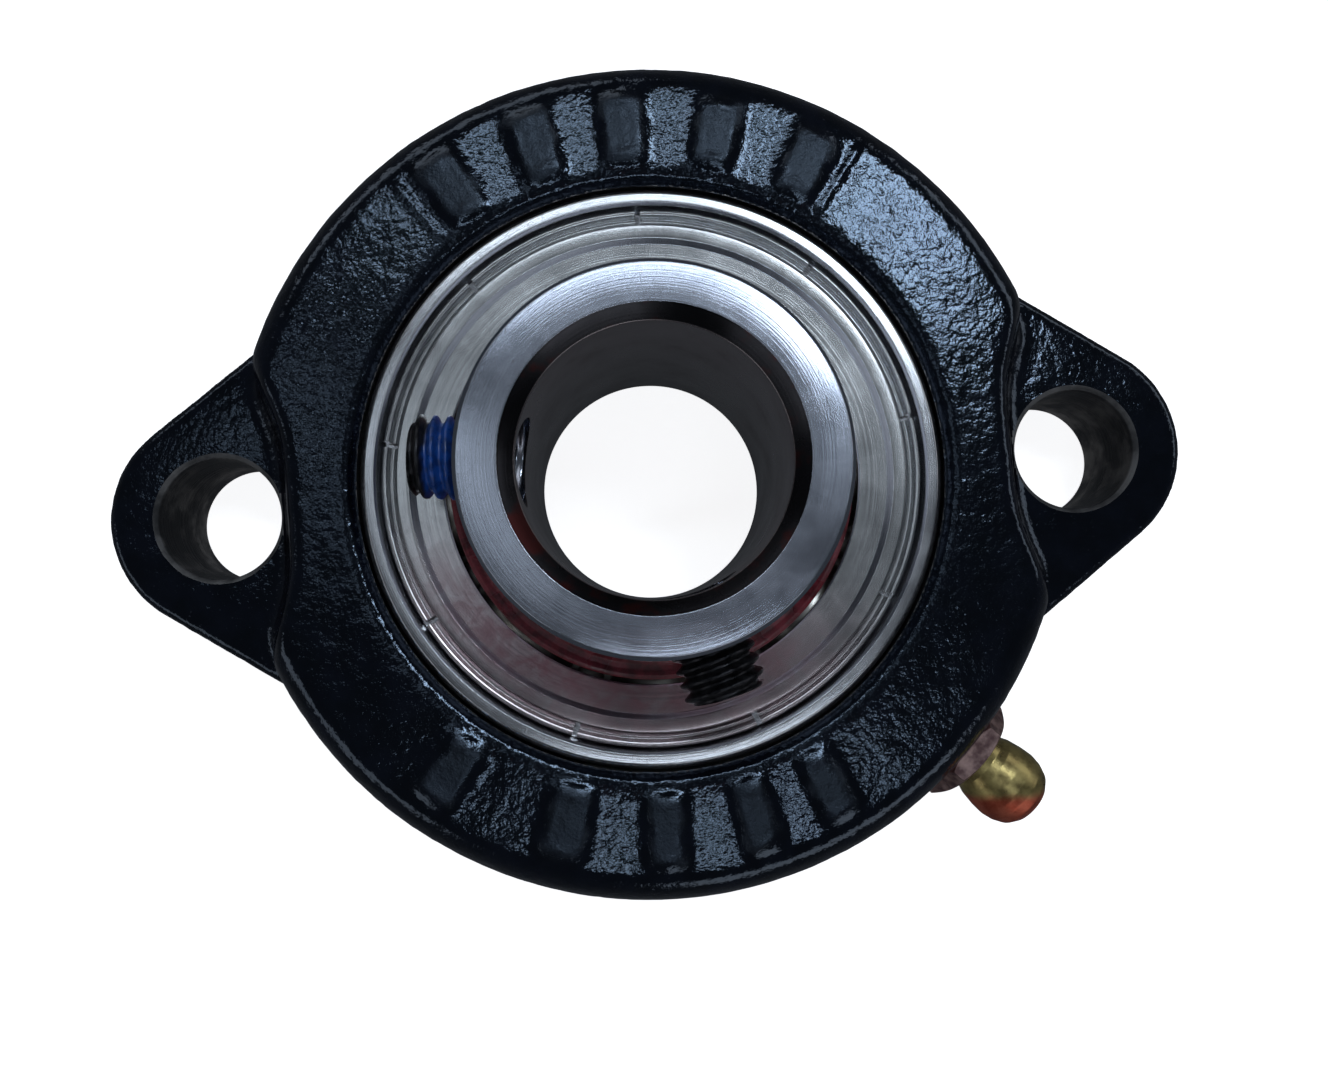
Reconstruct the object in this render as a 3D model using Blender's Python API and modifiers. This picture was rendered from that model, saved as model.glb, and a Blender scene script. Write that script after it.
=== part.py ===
"""Two-bolt flange unit with a set-screw insert bearing, 3/4 inch bore.

The mounting face lies in the plane Z = 0 and the bore axis is Z, so the
origin is where the shaft's centre line meets the mounting face. The collar
with its set screws points to +Z and the two bolt holes lie on the X axis.
Lengths below are in millimetres and are turned into metres by MM.
"""
import math

import bmesh
import bpy
from mathutils import Matrix, Vector

MM = 0.001

# ---------------------------------------------------------------- housing
BOLT_SPACING = 71.5          # centre to centre of the two bolt holes
BOLT_HOLE_R = 5.0
EAR_TIP_R = 9.25             # so that the flange is 90 mm long
EAR_HALF_ANGLE = 35.0        # slope of the ear sides to the bolt line
EAR_THICKNESS = 10.0
BODY_R = 33.5
BODY_HEIGHT = 16.5
FACE_EDGE_R = 30.4           # where the front face turns into the shoulder
SEAT_CENTRE_Z = 9.0          # centre of the spherical seat
SEAT_R = 23.8
SEAT_CHAMFER = 0.6
RELIEF_FOOT_X = 30.2         # bolt-head relief at ear level
RELIEF_TOP_X = 27.9          # the same plane at the front face
PAD_RISE = 0.45              # raised cast pads on the front face
PAD_R_IN, PAD_R_OUT = 24.3, 30.2
PADS_UPPER = [(120.2, 9.0), (104.8, 9.0), (90.2, 9.0), (74.8, 9.0), (59.2, 9.0)]
PADS_LOWER = [(231.0, 9.0), (251.5, 9.0), (267.5, 8.0), (282.0, 7.5), (294.5, 7.5)]
SLOT_HALF = 7.3              # loading slots at the mounting side

# ---------------------------------------------------------- insert bearing
RING_SPHERE_R = 23.5         # 47 mm outside diameter
RING_WIDTH = 14.0
RING_BORE_R = 19.35          # shoulders beside the ball track
SEAL_GROOVE_R = 21.28
SEAL_GROOVE_Z = 4.9          # from the middle of the ring to the groove floor
PITCH_R = 16.75
TRACK_R = 4.2
BALL_R = 7.938 / 2.0
BALL_COUNT = 8
BORE_R = 19.05 / 2.0
COLLAR_R = 13.6
INNER_LOW, INNER_HIGH = 2.0, 27.0
BORE_CHAMFER = 1.08
SCREW_Z = 22.0
SCREW_R = 3.0
SCREW_HOLE_R = 3.3
SCREW_IN, SCREW_OUT = 11.1, 17.1     # ends of a set screw, from the bore axis
SCREW_ANGLES = {"set_screw_a": 173.0, "set_screw_b": 283.0}
SOCKET_FLATS = 3.0
CAGE_R_IN, CAGE_R_OUT = 15.3, 18.2
CAGE_SHEET = 0.7
CAGE_GAP = 0.15              # half of the gap between the two ribbons
POCKET_R = 4.25
NOTCHES = 9
NOTCH_START = 8.5
# ------------------------------------------------------------ grease nipple
NIPPLE_ANGLE = -45.0
NIPPLE_THREAD_R = 2.85
NIPPLE_HOLE_R = 3.15
SPOT_FACE_R, SPOT_FACE_H = 5.8, 33.0
HEX_FLATS = 8.0
HEX_LOW, HEX_HIGH = 33.3, 34.9
NIPPLE_TIP = 41.25
CHECK_BALL_R = 0.95
CHECK_BALL_H = 39.4

COLLECTION = "flange_mount_bearing"


# ------------------------------------------------------------------ helpers
def clear_scene():
    for ob in list(bpy.data.objects):
        bpy.data.objects.remove(ob, do_unlink=True)
    for block in (bpy.data.meshes, bpy.data.curves, bpy.data.materials):
        for item in list(block):
            block.remove(item)
    for coll in list(bpy.data.collections):
        bpy.data.collections.remove(coll)


clear_scene()
parts = bpy.data.collections.new(COLLECTION)
cutters = bpy.data.collections.new("cutters")
bpy.context.scene.collection.children.link(parts)
bpy.context.scene.collection.children.link(cutters)


def material(name, colour, roughness, metallic):
    mat = bpy.data.materials.new(name)
    mat.use_nodes = True
    bsdf = mat.node_tree.nodes["Principled BSDF"]
    bsdf.inputs["Base Color"].default_value = (*colour, 1.0)
    bsdf.inputs["Roughness"].default_value = roughness
    bsdf.inputs["Metallic"].default_value = metallic
    mat.diffuse_color = (*colour, 1.0)
    return mat


def add(name, mesh, cutter=False):
    ob = bpy.data.objects.new(name, mesh)
    (cutters if cutter else parts).objects.link(ob)
    if cutter:
        ob.hide_render = True
        ob.display_type = "WIRE"
    return ob


def smooth(mesh, angle=32.0):
    mesh.shade_smooth()
    mesh.set_sharp_from_angle(angle=math.radians(angle))


def turned(name, profile, steps, closed=True, cutter=False):
    """Solid of revolution about Z: a profile of (r, z) and a Screw modifier."""
    mesh = bpy.data.meshes.new(name)
    points = [(r * MM, 0.0, z * MM) for r, z in profile]
    edges = [(i, i + 1) for i in range(len(points) - 1)]
    if closed:
        edges.append((len(points) - 1, 0))
    mesh.from_pydata(points, edges, [])
    ob = add(name, mesh, cutter)
    screw = ob.modifiers.new("turn", "SCREW")
    screw.axis = "Z"
    screw.angle = 2.0 * math.pi
    screw.steps = steps
    screw.render_steps = steps
    screw.use_merge_vertices = True
    screw.merge_threshold = 0.00001
    screw.use_smooth_shade = True
    return ob


def outline(name, points, z_low, z_high, cutter=True):
    """Flat outline in XY, filled and extruded from z_low to z_high."""
    curve = bpy.data.curves.new(name, "CURVE")
    curve.dimensions = "2D"
    curve.fill_mode = "BOTH"
    curve.extrude = 0.5 * (z_high - z_low) * MM
    spline = curve.splines.new("POLY")
    spline.points.add(len(points) - 1)
    for point, (x, y) in zip(spline.points, points):
        point.co = (x * MM, y * MM, 0.0, 1.0)
    spline.use_cyclic_u = True
    guide = bpy.data.objects.new(name + "_outline", curve)
    bpy.context.scene.collection.objects.link(guide)
    bpy.context.view_layer.update()
    depsgraph = bpy.context.evaluated_depsgraph_get()
    mesh = bpy.data.meshes.new_from_object(guide.evaluated_get(depsgraph))
    bpy.data.objects.remove(guide, do_unlink=True)
    bpy.data.curves.remove(curve)
    bm = bmesh.new()
    bm.from_mesh(mesh)
    bmesh.ops.remove_doubles(bm, verts=bm.verts, dist=0.000001)
    bmesh.ops.recalc_face_normals(bm, faces=bm.faces)
    bm.to_mesh(mesh)
    bm.free()
    mesh.name = name
    ob = add(name, mesh, cutter)
    ob.location.z = 0.5 * (z_low + z_high) * MM
    return ob


def solid(name, build, cutter=False):
    """Mesh object from a function that fills a bmesh with primitives."""
    mesh = bpy.data.meshes.new(name)
    bm = bmesh.new()
    build(bm)
    bm.to_mesh(mesh)
    bm.free()
    return add(name, mesh, cutter)


def rod(name, radius, low, high, segments, cutter=True):
    """Cylinder along Z from low to high."""
    def build(bm):
        bmesh.ops.create_cone(
            bm, cap_ends=True, segments=segments, radius1=radius * MM, radius2=radius * MM,
            depth=(high - low) * MM, matrix=Matrix.Translation((0, 0, 0.5 * (low + high) * MM)))
    return solid(name, build, cutter)


def boolean(ob, other, operation):
    mod = ob.modifiers.new(operation.lower() + "_" + other.name, "BOOLEAN")
    mod.operation = operation
    mod.solver = "EXACT"
    mod.object = other
    return mod


def weld(ob, distance=0.01):
    """Closes the slivers that a Boolean leaves."""
    mod = ob.modifiers.new("weld", "WELD")
    mod.merge_threshold = distance * MM
    return mod


def arc(cx, cz, radius, start, end, count):
    """Points on a circle in the (r, z) plane, angles in degrees."""
    out = []
    for i in range(count + 1):
        a = math.radians(start + (end - start) * i / count)
        out.append((cx + radius * math.cos(a), cz + radius * math.sin(a)))
    return out


def about_z(radius, degrees):
    a = math.radians(degrees)
    return radius * math.cos(a), radius * math.sin(a)


def radial_frame(degrees, z):
    """Matrix that lays local +Z along the radius at this angle, at height z."""
    a = math.radians(degrees)
    out = Vector((math.cos(a), math.sin(a), 0.0))
    side = Vector((-math.sin(a), math.cos(a), 0.0))
    up = Vector((0.0, 0.0, 1.0))
    m = Matrix((
        (side.x, up.x, out.x, 0.0),
        (side.y, up.y, out.y, 0.0),
        (side.z, up.z, out.z, z * MM),
        (0.0, 0.0, 0.0, 1.0)))
    return m


paint = material("black_paint", (0.010, 0.011, 0.016), 0.30, 0.0)
ground = material("ground_steel", (0.56, 0.59, 0.66), 0.26, 1.0)
race = material("ring_steel", (0.58, 0.58, 0.60), 0.22, 1.0)
ball_steel = material("ball_steel", (0.70, 0.70, 0.71), 0.08, 1.0)
cage_steel = material("cage_steel", (0.50, 0.48, 0.45), 0.38, 1.0)
shield_steel = material("shield_steel", (0.60, 0.58, 0.57), 0.30, 1.0)
rubber = material("seal_rubber", (0.060, 0.022, 0.022), 0.55, 0.0)
screw_steel = material("black_oxide", (0.020, 0.020, 0.024), 0.42, 0.9)
brass = material("nipple_brass", (0.62, 0.47, 0.20), 0.28, 1.0)
spring_steel = material("spring_steel", (0.55, 0.55, 0.56), 0.25, 1.0)


# ------------------------------------------------------------------ housing
def make_housing():
    shoulder = []
    rise, run = BODY_HEIGHT - 11.4, BODY_R - 0.1 - FACE_EDGE_R
    for i in range(5):
        a = math.radians(90.0 * i / 4)
        shoulder.append((FACE_EDGE_R + run * math.sin(a), 11.4 + rise * math.cos(a) ** 0.9))
    profile = [(0.0, BODY_HEIGHT)] + shoulder + [
        (BODY_R, 9.0), (BODY_R, 0.6), (BODY_R - 0.6, 0.0), (0.0, 0.0)]
    body = turned("housing", profile, 48, closed=False)

    # bolt-head reliefs: a leaning plane on each side, above the ears
    lean = (RELIEF_FOOT_X - RELIEF_TOP_X) / (BODY_HEIGHT - EAR_THICKNESS)
    low, high = EAR_THICKNESS - 1.2, BODY_HEIGHT + 2.0
    x_low = RELIEF_FOOT_X + lean * (EAR_THICKNESS - low)
    x_high = RELIEF_FOOT_X - lean * (high - EAR_THICKNESS)
    for side, name in ((1, "relief_right"), (-1, "relief_left")):
        cut = outline(name, [(x_low, low), (44.0, low), (44.0, high), (x_high, high)], -20.0, 20.0)
        cut.matrix_world = (
            Matrix.Rotation(0.0 if side > 0 else math.pi, 4, "Z")
            @ Matrix.Rotation(math.pi / 2, 4, "X"))
        boolean(body, cut, "DIFFERENCE")

    # the flange plate: two ears with tangent sides that run into the body
    half = BOLT_SPACING / 2.0
    slope = math.radians(EAR_HALF_ANGLE)
    points = []
    for side in (1, -1):
        for i in range(13):
            a = math.pi / 2 - slope - (math.pi - 2 * slope) * i / 12
            points.append((side * (half + EAR_TIP_R * math.cos(a)), side * EAR_TIP_R * math.sin(a)))
        # foot of this ear's lower side, well inside the body
        tip = (half + EAR_TIP_R * math.sin(slope), -EAR_TIP_R * math.cos(slope))
        for reach in (1.0, -1.0):
            run = 17.0
            x = tip[0] - run * math.cos(slope)
            y = (tip[1] - run * math.sin(slope))
            if reach > 0:
                points.append((side * x, side * y))
            else:
                points.append((-side * x, side * y))
    plate = outline("flange_plate", points, 0.0, EAR_THICKNESS)
    edge = plate.modifiers.new("edge", "BEVEL")
    edge.width = 0.7 * MM
    edge.segments = 2
    edge.limit_method = "ANGLE"
    edge.angle_limit = math.radians(60)
    boolean(body, plate, "UNION")

    # raised cast pads on the front face
    for i, (middle, width) in enumerate(PADS_UPPER + PADS_LOWER):
        points = []
        for k in range(3):
            points.append(about_z(PAD_R_OUT, middle + width * (k / 2.0 - 0.5)))
        for k in range(3):
            points.append(about_z(PAD_R_IN, middle - width * 1.12 * (k / 2.0 - 0.5)))
        pad = outline("pad_%d" % (i + 1), points, BODY_HEIGHT - 1.6, BODY_HEIGHT + PAD_RISE)
        soften = pad.modifiers.new("soften", "BEVEL")
        soften.width = 0.35 * MM
        soften.segments = 1
        soften.limit_method = "ANGLE"
        soften.angle_limit = math.radians(60)
        boolean(body, pad, "UNION")

    # spherical seat, open at both faces
    def on_sphere(z):
        return math.sqrt(SEAT_R ** 2 - (z - SEAT_CENTRE_Z) ** 2)
    top, low = BODY_HEIGHT - SEAT_CHAMFER, 0.5
    seat = [(0.0, BODY_HEIGHT + 2.0), (on_sphere(top) + SEAT_CHAMFER + 2.0, BODY_HEIGHT + 2.0)]
    for i in range(8):
        z = top + (low - top) * i / 7
        seat.append((on_sphere(z), z))
    seat += [(on_sphere(low) + 1.5, -1.0), (0.0, -1.0)]
    boolean(body, turned("seat_cutter", seat, 48, closed=False, cutter=True), "DIFFERENCE")

    # loading slots at the mounting side, as wide as the ring
    slot = rod("slot_cutter", SEAT_R - 0.15, -1.0, SEAT_CENTRE_Z - 0.8, 36)
    gate = solid("slot_gate", lambda bm: bmesh.ops.create_cube(bm, size=1.0), cutter=True)
    for v in gate.data.vertices:
        v.co = (v.co.x * 2 * SLOT_HALF * MM, v.co.y * 60 * MM, v.co.z * 30 * MM)
    boolean(slot, gate, "INTERSECT")
    boolean(body, slot, "DIFFERENCE")

    # bolt holes with a slight lead-in on the ear
    hole = [(0.0, EAR_THICKNESS + 0.6), (BOLT_HOLE_R + 0.45, EAR_THICKNESS + 0.6),
            (BOLT_HOLE_R + 0.45, EAR_THICKNESS), (BOLT_HOLE_R, EAR_THICKNESS - 0.45),
            (BOLT_HOLE_R, -1.0), (0.0, -1.0)]
    for side, name in ((1, "bolt_hole_right"), (-1, "bolt_hole_left")):
        cut = turned(name, hole, 28, closed=False, cutter=True)
        cut.location.x = side * half * MM
        boolean(body, cut, "DIFFERENCE")

    # grease passage: spot face outside, tapped hole through to the seat
    frame = radial_frame(NIPPLE_ANGLE, SEAT_CENTRE_Z)
    drill = rod("nipple_drill", NIPPLE_HOLE_R, 20.0, 36.0, 20)
    spot = rod("nipple_spot_face", SPOT_FACE_R, SPOT_FACE_H, 38.0, 24)
    drill.matrix_world = frame
    spot.matrix_world = frame
    boolean(body, spot, "DIFFERENCE")
    boolean(body, drill, "DIFFERENCE")
    weld(body)
    body.data.materials.append(paint)
    return body


# --------------------------------------------------------------- the insert
def make_outer_ring():
    c = SEAT_CENTRE_Z
    half = RING_WIDTH / 2.0

    def on_sphere(z):
        return math.sqrt(RING_SPHERE_R ** 2 - (z - c) ** 2)
    groove_low, groove_high = c + 1.8, c + 3.4
    outer = []
    top, low = c + half - 0.45, c - half + 0.45
    for i in range(3):
        z = top + (groove_high - top) * i / 2
        outer.append((on_sphere(z), z))
    outer += [(on_sphere(groove_high) - 0.5, groove_high - 0.2),
              (on_sphere(groove_high) - 0.5, groove_low + 0.2)]
    for i in range(5):
        z = groove_low + (low - groove_low) * i / 4
        outer.append((on_sphere(z), z))
    reach = math.degrees(math.acos((RING_BORE_R - PITCH_R) / TRACK_R))
    inner = [(SEAL_GROOVE_R, c - half), (SEAL_GROOVE_R, c - SEAL_GROOVE_Z),
             (RING_BORE_R, c - SEAL_GROOVE_Z)]
    inner += arc(PITCH_R, c, TRACK_R, -reach, reach, 5)
    inner += [(RING_BORE_R, c + SEAL_GROOVE_Z), (SEAL_GROOVE_R, c + SEAL_GROOVE_Z),
              (SEAL_GROOVE_R, c + half)]
    edge = on_sphere(top) - 0.45
    profile = outer + [(edge, c - half)] + inner + [(edge, c + half)]
    ring = turned("outer_ring", profile, 36)
    # two grease holes, from the groove outside to the shoulder beside the track
    for i, degrees in enumerate((-45.0, 135.0)):
        cut = rod("grease_hole_%d" % (i + 1), 0.55, -3.0, 3.6, 8)
        tilt = Matrix.Rotation(math.radians(21.0), 4, "X")
        cut.matrix_world = (radial_frame(degrees, 12.25)
                            @ Matrix.Translation((0, 0, 21.3 * MM)) @ tilt)
        boolean(ring, cut, "DIFFERENCE")
    ring.data.materials.append(race)
    return ring


def make_inner_ring():
    c = SEAT_CENTRE_Z
    reach = math.degrees(math.acos((PITCH_R - COLLAR_R) / TRACK_R))
    profile = [(COLLAR_R - 0.35, INNER_HIGH), (COLLAR_R, INNER_HIGH - 0.35)]
    profile += arc(PITCH_R, c, TRACK_R, 180.0 - reach, 180.0 + reach, 5)
    profile += [(COLLAR_R, INNER_LOW + 0.35), (COLLAR_R - 0.35, INNER_LOW),
                (BORE_R + 0.9, INNER_LOW), (BORE_R, INNER_LOW + 0.9),
                (BORE_R, INNER_HIGH - BORE_CHAMFER), (BORE_R + BORE_CHAMFER, INNER_HIGH)]
    ring = turned("inner_ring", profile, 36)
    for i, degrees in enumerate(SCREW_ANGLES.values()):
        cut = rod("screw_hole_%d" % (i + 1), SCREW_HOLE_R, 5.0, 16.0, 20)
        cut.matrix_world = radial_frame(degrees, SCREW_Z)
        boolean(ring, cut, "DIFFERENCE")
    ring.data.materials.append(ground)
    return ring


def make_balls():
    mesh = bpy.data.meshes.new("ball")
    bm = bmesh.new()
    bmesh.ops.create_uvsphere(bm, u_segments=16, v_segments=9, radius=BALL_R * MM)
    bm.to_mesh(mesh)
    bm.free()
    smooth(mesh, 60)
    mesh.materials.append(ball_steel)
    for i in range(BALL_COUNT):
        ball = add("ball_%d" % (i + 1), mesh)
        x, y = about_z(PITCH_R, 360.0 * i / BALL_COUNT)
        ball.location = (x * MM, y * MM, SEAT_CENTRE_Z * MM)


def make_cage():
    c = SEAT_CENTRE_Z

    def spheres(radius, segments):
        def build(bm):
            for i in range(BALL_COUNT):
                a = 360.0 * i / BALL_COUNT
                m = radial_frame(a, c) @ Matrix.Translation((0, 0, PITCH_R * MM))
                bmesh.ops.create_uvsphere(
                    bm, u_segments=segments, v_segments=segments // 2, radius=radius * MM, matrix=m)
        return build

    ball_space = solid("ball_space", spheres(POCKET_R, 12), cutter=True)
    crowns = solid("pocket_crowns", spheres(POCKET_R + CAGE_SHEET, 12), cutter=True)

    def pins(bm):
        for i in range(BALL_COUNT):
            x, y = about_z(PITCH_R, 360.0 * (i + 0.5) / BALL_COUNT)
            bmesh.ops.create_cone(
                bm, cap_ends=True, segments=6, radius1=0.95 * MM, radius2=0.95 * MM,
                depth=8 * MM, matrix=Matrix.Translation((x * MM, y * MM, c * MM)))
    rivet_space = solid("rivet_space", pins, cutter=True)

    for side, name in ((1, "cage_front"), (-1, "cage_rear")):
        near, far = c + side * CAGE_GAP, c + side * (CAGE_GAP + CAGE_SHEET)
        low, high = min(near, far), max(near, far)
        ribbon = turned(name, [(CAGE_R_OUT, high), (CAGE_R_OUT, low),
                               (CAGE_R_IN, low), (CAGE_R_IN, high)], 40)
        # the crowns over the balls, trimmed to the ribbon's width and to one side
        start, end = near + side * 0.2, c + side * 8.0
        low, high = min(start, end), max(start, end)
        wide, narrow = CAGE_R_OUT - 0.12, CAGE_R_IN + 0.12
        band = turned(name + "_band", [(wide, high), (wide, low), (narrow, low),
                                       (narrow, high)], 40, cutter=True)
        boolean(band, crowns, "INTERSECT")
        boolean(ribbon, band, "UNION")
        boolean(ribbon, ball_space, "DIFFERENCE")
        boolean(ribbon, rivet_space, "DIFFERENCE")
        weld(ribbon, 0.02)
        ribbon.data.materials.append(cage_steel)

    head, shank = CAGE_GAP + CAGE_SHEET + 0.3, 0.6
    rivet = None
    for i in range(BALL_COUNT):
        x, y = about_z(PITCH_R, 360.0 * (i + 0.5) / BALL_COUNT)
        name = "cage_rivet_%d" % (i + 1)
        if rivet is None:
            ob = turned(name, [(0.0, head + 0.6), (0.9, head + 0.45), (1.15, head), (shank, head),
                               (shank, -head), (1.15, -head), (0.9, -head - 0.45),
                               (0.0, -head - 0.6)], 8, closed=False)
            ob.data.materials.append(cage_steel)
            rivet = ob
        else:
            ob = add(name, rivet.data)
            screw = ob.modifiers.new("turn", "SCREW")
            screw.axis = "Z"
            screw.angle = 2.0 * math.pi
            screw.steps = 8
            screw.render_steps = 8
            screw.use_merge_vertices = True
            screw.merge_threshold = 0.00001
            screw.use_smooth_shade = True
        ob.location = (x * MM, y * MM, c * MM)


def make_seals():
    c = SEAT_CENTRE_Z
    # heights are measured from the middle of the ring
    shield = [(20.70, 6.75), (20.98, 6.50), (20.98, 5.25), (20.52, 5.25), (20.52, 5.95),
              (19.05, 5.95), (18.65, 5.55), (16.20, 5.55), (16.20, 5.95), (18.50, 5.95),
              (18.90, 6.35), (20.40, 6.35), (20.48, 6.70)]
    lip = [(15.80, 5.95), (15.80, 5.30), (14.60, 5.30), (13.95, 5.55), (13.90, 6.15),
           (14.35, 6.05), (14.80, 5.95)]
    for side, where in ((1, "front"), (-1, "rear")):
        order = 1 if side > 0 else -1
        steel = turned(where + "_seal_shield",
                       [(r, c + side * h) for r, h in shield][::order], 36)
        soft = turned(where + "_seal_lip", [(r, c + side * h) for r, h in lip][::order], 32)
        steel.data.materials.append(shield_steel)
        soft.data.materials.append(rubber)
        if side > 0:
            def notches(bm):
                for i in range(NOTCHES):
                    a = NOTCH_START + 360.0 * i / NOTCHES
                    m = (radial_frame(a, c + 6.9) @ Matrix.Translation((0, 0, 20.85 * MM))
                         @ Matrix.Diagonal((0.45 * MM, 1.1 * MM, 0.95 * MM, 1.0)))
                    bmesh.ops.create_cube(bm, size=1.0, matrix=m)
            boolean(steel, solid("rim_notches", notches, cutter=True), "DIFFERENCE")


def hexagon(flats, turn=30.0):
    r = flats / math.sqrt(3.0)
    return [(r * math.cos(math.radians(60 * i + turn)), r * math.sin(math.radians(60 * i + turn)))
            for i in range(6)]


def make_set_screws():
    length = SCREW_OUT - SCREW_IN
    for name, degrees in SCREW_ANGLES.items():
        # local Z runs outwards, local origin in the middle of the screw
        half = length / 2.0
        ob = turned(name, [(0.0, half), (SCREW_R - 0.35, half), (SCREW_R, half - 0.35),
                           (SCREW_R, -half + 0.8), (SCREW_R - 0.8, -half),
                           (SCREW_R - 1.3, -half), (0.0, -half + 0.7)], 20, closed=False)
        socket = outline(name + "_socket", hexagon(SOCKET_FLATS), half - 2.8, half + 1.0)
        place = radial_frame(degrees, SCREW_Z) @ Matrix.Translation(
            (0, 0, 0.5 * (SCREW_IN + SCREW_OUT) * MM))
        socket.matrix_world = place @ Matrix.Translation(socket.location)
        ob.matrix_world = place
        boolean(ob, socket, "DIFFERENCE")
        ob.data.materials.append(screw_steel)


def make_nipple():
    frame = radial_frame(NIPPLE_ANGLE, SEAT_CENTRE_Z)
    # stem and head; local height is the distance from the bore axis
    stem = [(0.0, NIPPLE_TIP), (1.95, NIPPLE_TIP), (2.70, 40.55), (3.08, 39.65), (3.20, 38.85),
            (3.12, 37.8), (2.90, 36.4), (2.90, HEX_HIGH - 0.4), (NIPPLE_THREAD_R, HEX_LOW + 0.5),
            (NIPPLE_THREAD_R, 27.6), (NIPPLE_THREAD_R - 0.5, 27.0), (0.0, 27.0)]
    body = turned("grease_nipple_body", stem, 20, closed=False)
    body.matrix_world = frame
    nut = outline("nipple_hex", hexagon(HEX_FLATS, 0.0), HEX_LOW, HEX_HIGH)
    nut.matrix_world = frame @ Matrix.Translation(nut.location)
    bevel = nut.modifiers.new("chamfer", "BEVEL")
    bevel.width = 0.35 * MM
    bevel.segments = 1
    bevel.limit_method = "ANGLE"
    bevel.angle_limit = math.radians(80)
    boolean(body, nut, "UNION")
    passage = turned("nipple_passage", [
        (0.0, 42.5), (0.62, 42.5), (0.62, 40.95), (1.27, 40.2), (1.27, 36.0), (0.7, 36.0),
        (0.7, 26.0), (0.0, 26.0)], 12, closed=False, cutter=True)
    passage.matrix_world = frame
    boolean(body, passage, "DIFFERENCE")
    body.data.materials.append(brass)

    def ball(bm):
        bmesh.ops.create_uvsphere(bm, u_segments=12, v_segments=7, radius=CHECK_BALL_R * MM)
    check = solid("nipple_check_ball", ball)
    smooth(check.data, 60)
    check.data.materials.append(ball_steel)
    check.matrix_world = frame @ Matrix.Translation((0, 0, CHECK_BALL_H * MM))

    # the spring under the check ball
    curve = bpy.data.curves.new("nipple_spring", "CURVE")
    curve.dimensions = "3D"
    curve.bevel_depth = 0.14 * MM
    curve.bevel_resolution = 0
    curve.use_fill_caps = True
    turns, per_turn, low, high = 3.0, 9, 36.45, 37.95
    count = int(turns * per_turn) + 1
    spline = curve.splines.new("POLY")
    spline.points.add(count - 1)
    for i in range(count):
        a = 2.0 * math.pi * i / per_turn
        h = low + (high - low) * i / (count - 1)
        spline.points[i].co = (0.75 * math.cos(a) * MM, 0.75 * math.sin(a) * MM,
                               (h - low) * MM, 1.0)
    spring = bpy.data.objects.new("nipple_spring", curve)
    parts.objects.link(spring)
    spring.matrix_world = frame @ Matrix.Translation((0, 0, low * MM))
    curve.materials.append(spring_steel)


make_housing()
make_outer_ring()
make_inner_ring()
make_balls()
make_cage()
make_seals()
make_set_screws()
make_nipple()
bpy.context.view_layer.update()
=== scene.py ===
import math

import bmesh
import bpy
import numpy as np
from mathutils import Matrix, Vector


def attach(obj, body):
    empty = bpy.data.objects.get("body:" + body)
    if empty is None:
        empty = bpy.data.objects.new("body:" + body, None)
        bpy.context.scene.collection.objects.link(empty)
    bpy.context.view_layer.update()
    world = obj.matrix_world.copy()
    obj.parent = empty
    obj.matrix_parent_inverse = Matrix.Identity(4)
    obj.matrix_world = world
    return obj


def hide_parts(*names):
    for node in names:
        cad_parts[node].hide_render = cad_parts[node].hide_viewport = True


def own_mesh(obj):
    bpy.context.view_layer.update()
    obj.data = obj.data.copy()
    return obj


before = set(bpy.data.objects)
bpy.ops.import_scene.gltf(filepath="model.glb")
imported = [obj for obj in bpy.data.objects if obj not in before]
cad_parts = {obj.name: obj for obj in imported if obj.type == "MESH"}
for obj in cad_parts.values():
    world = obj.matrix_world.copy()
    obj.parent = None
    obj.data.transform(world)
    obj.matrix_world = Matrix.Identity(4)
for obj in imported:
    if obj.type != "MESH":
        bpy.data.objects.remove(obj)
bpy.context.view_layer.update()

MM = 0.001

# ------------------------------------------------------------ sizes, in mm
BOLT_X, BOLT_R = 35.75, 5.0
EAR_R, EAR_SLOPE, EAR_Z = 9.25, math.radians(35.0), 10.0
BODY_R, FACE_Z, FACE_EDGE_R = 33.5, 16.5, 30.4
C = 9.0                                   # height of the ball plane
SEAT_R = 23.8
PADS = [(120.2, 9.0), (104.8, 9.0), (90.2, 9.0), (74.8, 9.0), (59.2, 9.0),
        (231.0, 9.0), (251.5, 9.0), (267.5, 8.0), (282.0, 7.5), (294.5, 7.5)]
NIPPLE = -45.0
BALLS = 8
PITCH_R, BALL_R = 16.75, 3.969
SCREWS = {"set_screw_a": 173.0, "set_screw_b": 283.0}


# =================================================================== helpers
def about_z(radius, degrees):
    a = math.radians(degrees)
    return radius * math.cos(a), radius * math.sin(a)


def radial_frame(degrees, z):
    a = math.radians(degrees)
    out = Vector((math.cos(a), math.sin(a), 0.0))
    side = Vector((-math.sin(a), math.cos(a), 0.0))
    return Matrix(((side.x, 0.0, out.x, 0.0), (side.y, 0.0, out.y, 0.0),
                   (side.z, 1.0, out.z, z * MM), (0.0, 0.0, 0.0, 1.0)))


def mesh_from(name, points, faces):
    """Mesh from mm points and faces, normals turned outwards."""
    mesh = bpy.data.meshes.new(name)
    mesh.from_pydata((np.asarray(points, float) * MM).tolist(), [], [list(f) for f in faces])
    bm = bmesh.new()
    bm.from_mesh(mesh)
    bmesh.ops.remove_doubles(bm, verts=bm.verts, dist=1e-8)
    bmesh.ops.recalc_face_normals(bm, faces=bm.faces)
    bm.to_mesh(mesh)
    bm.free()
    return mesh


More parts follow.
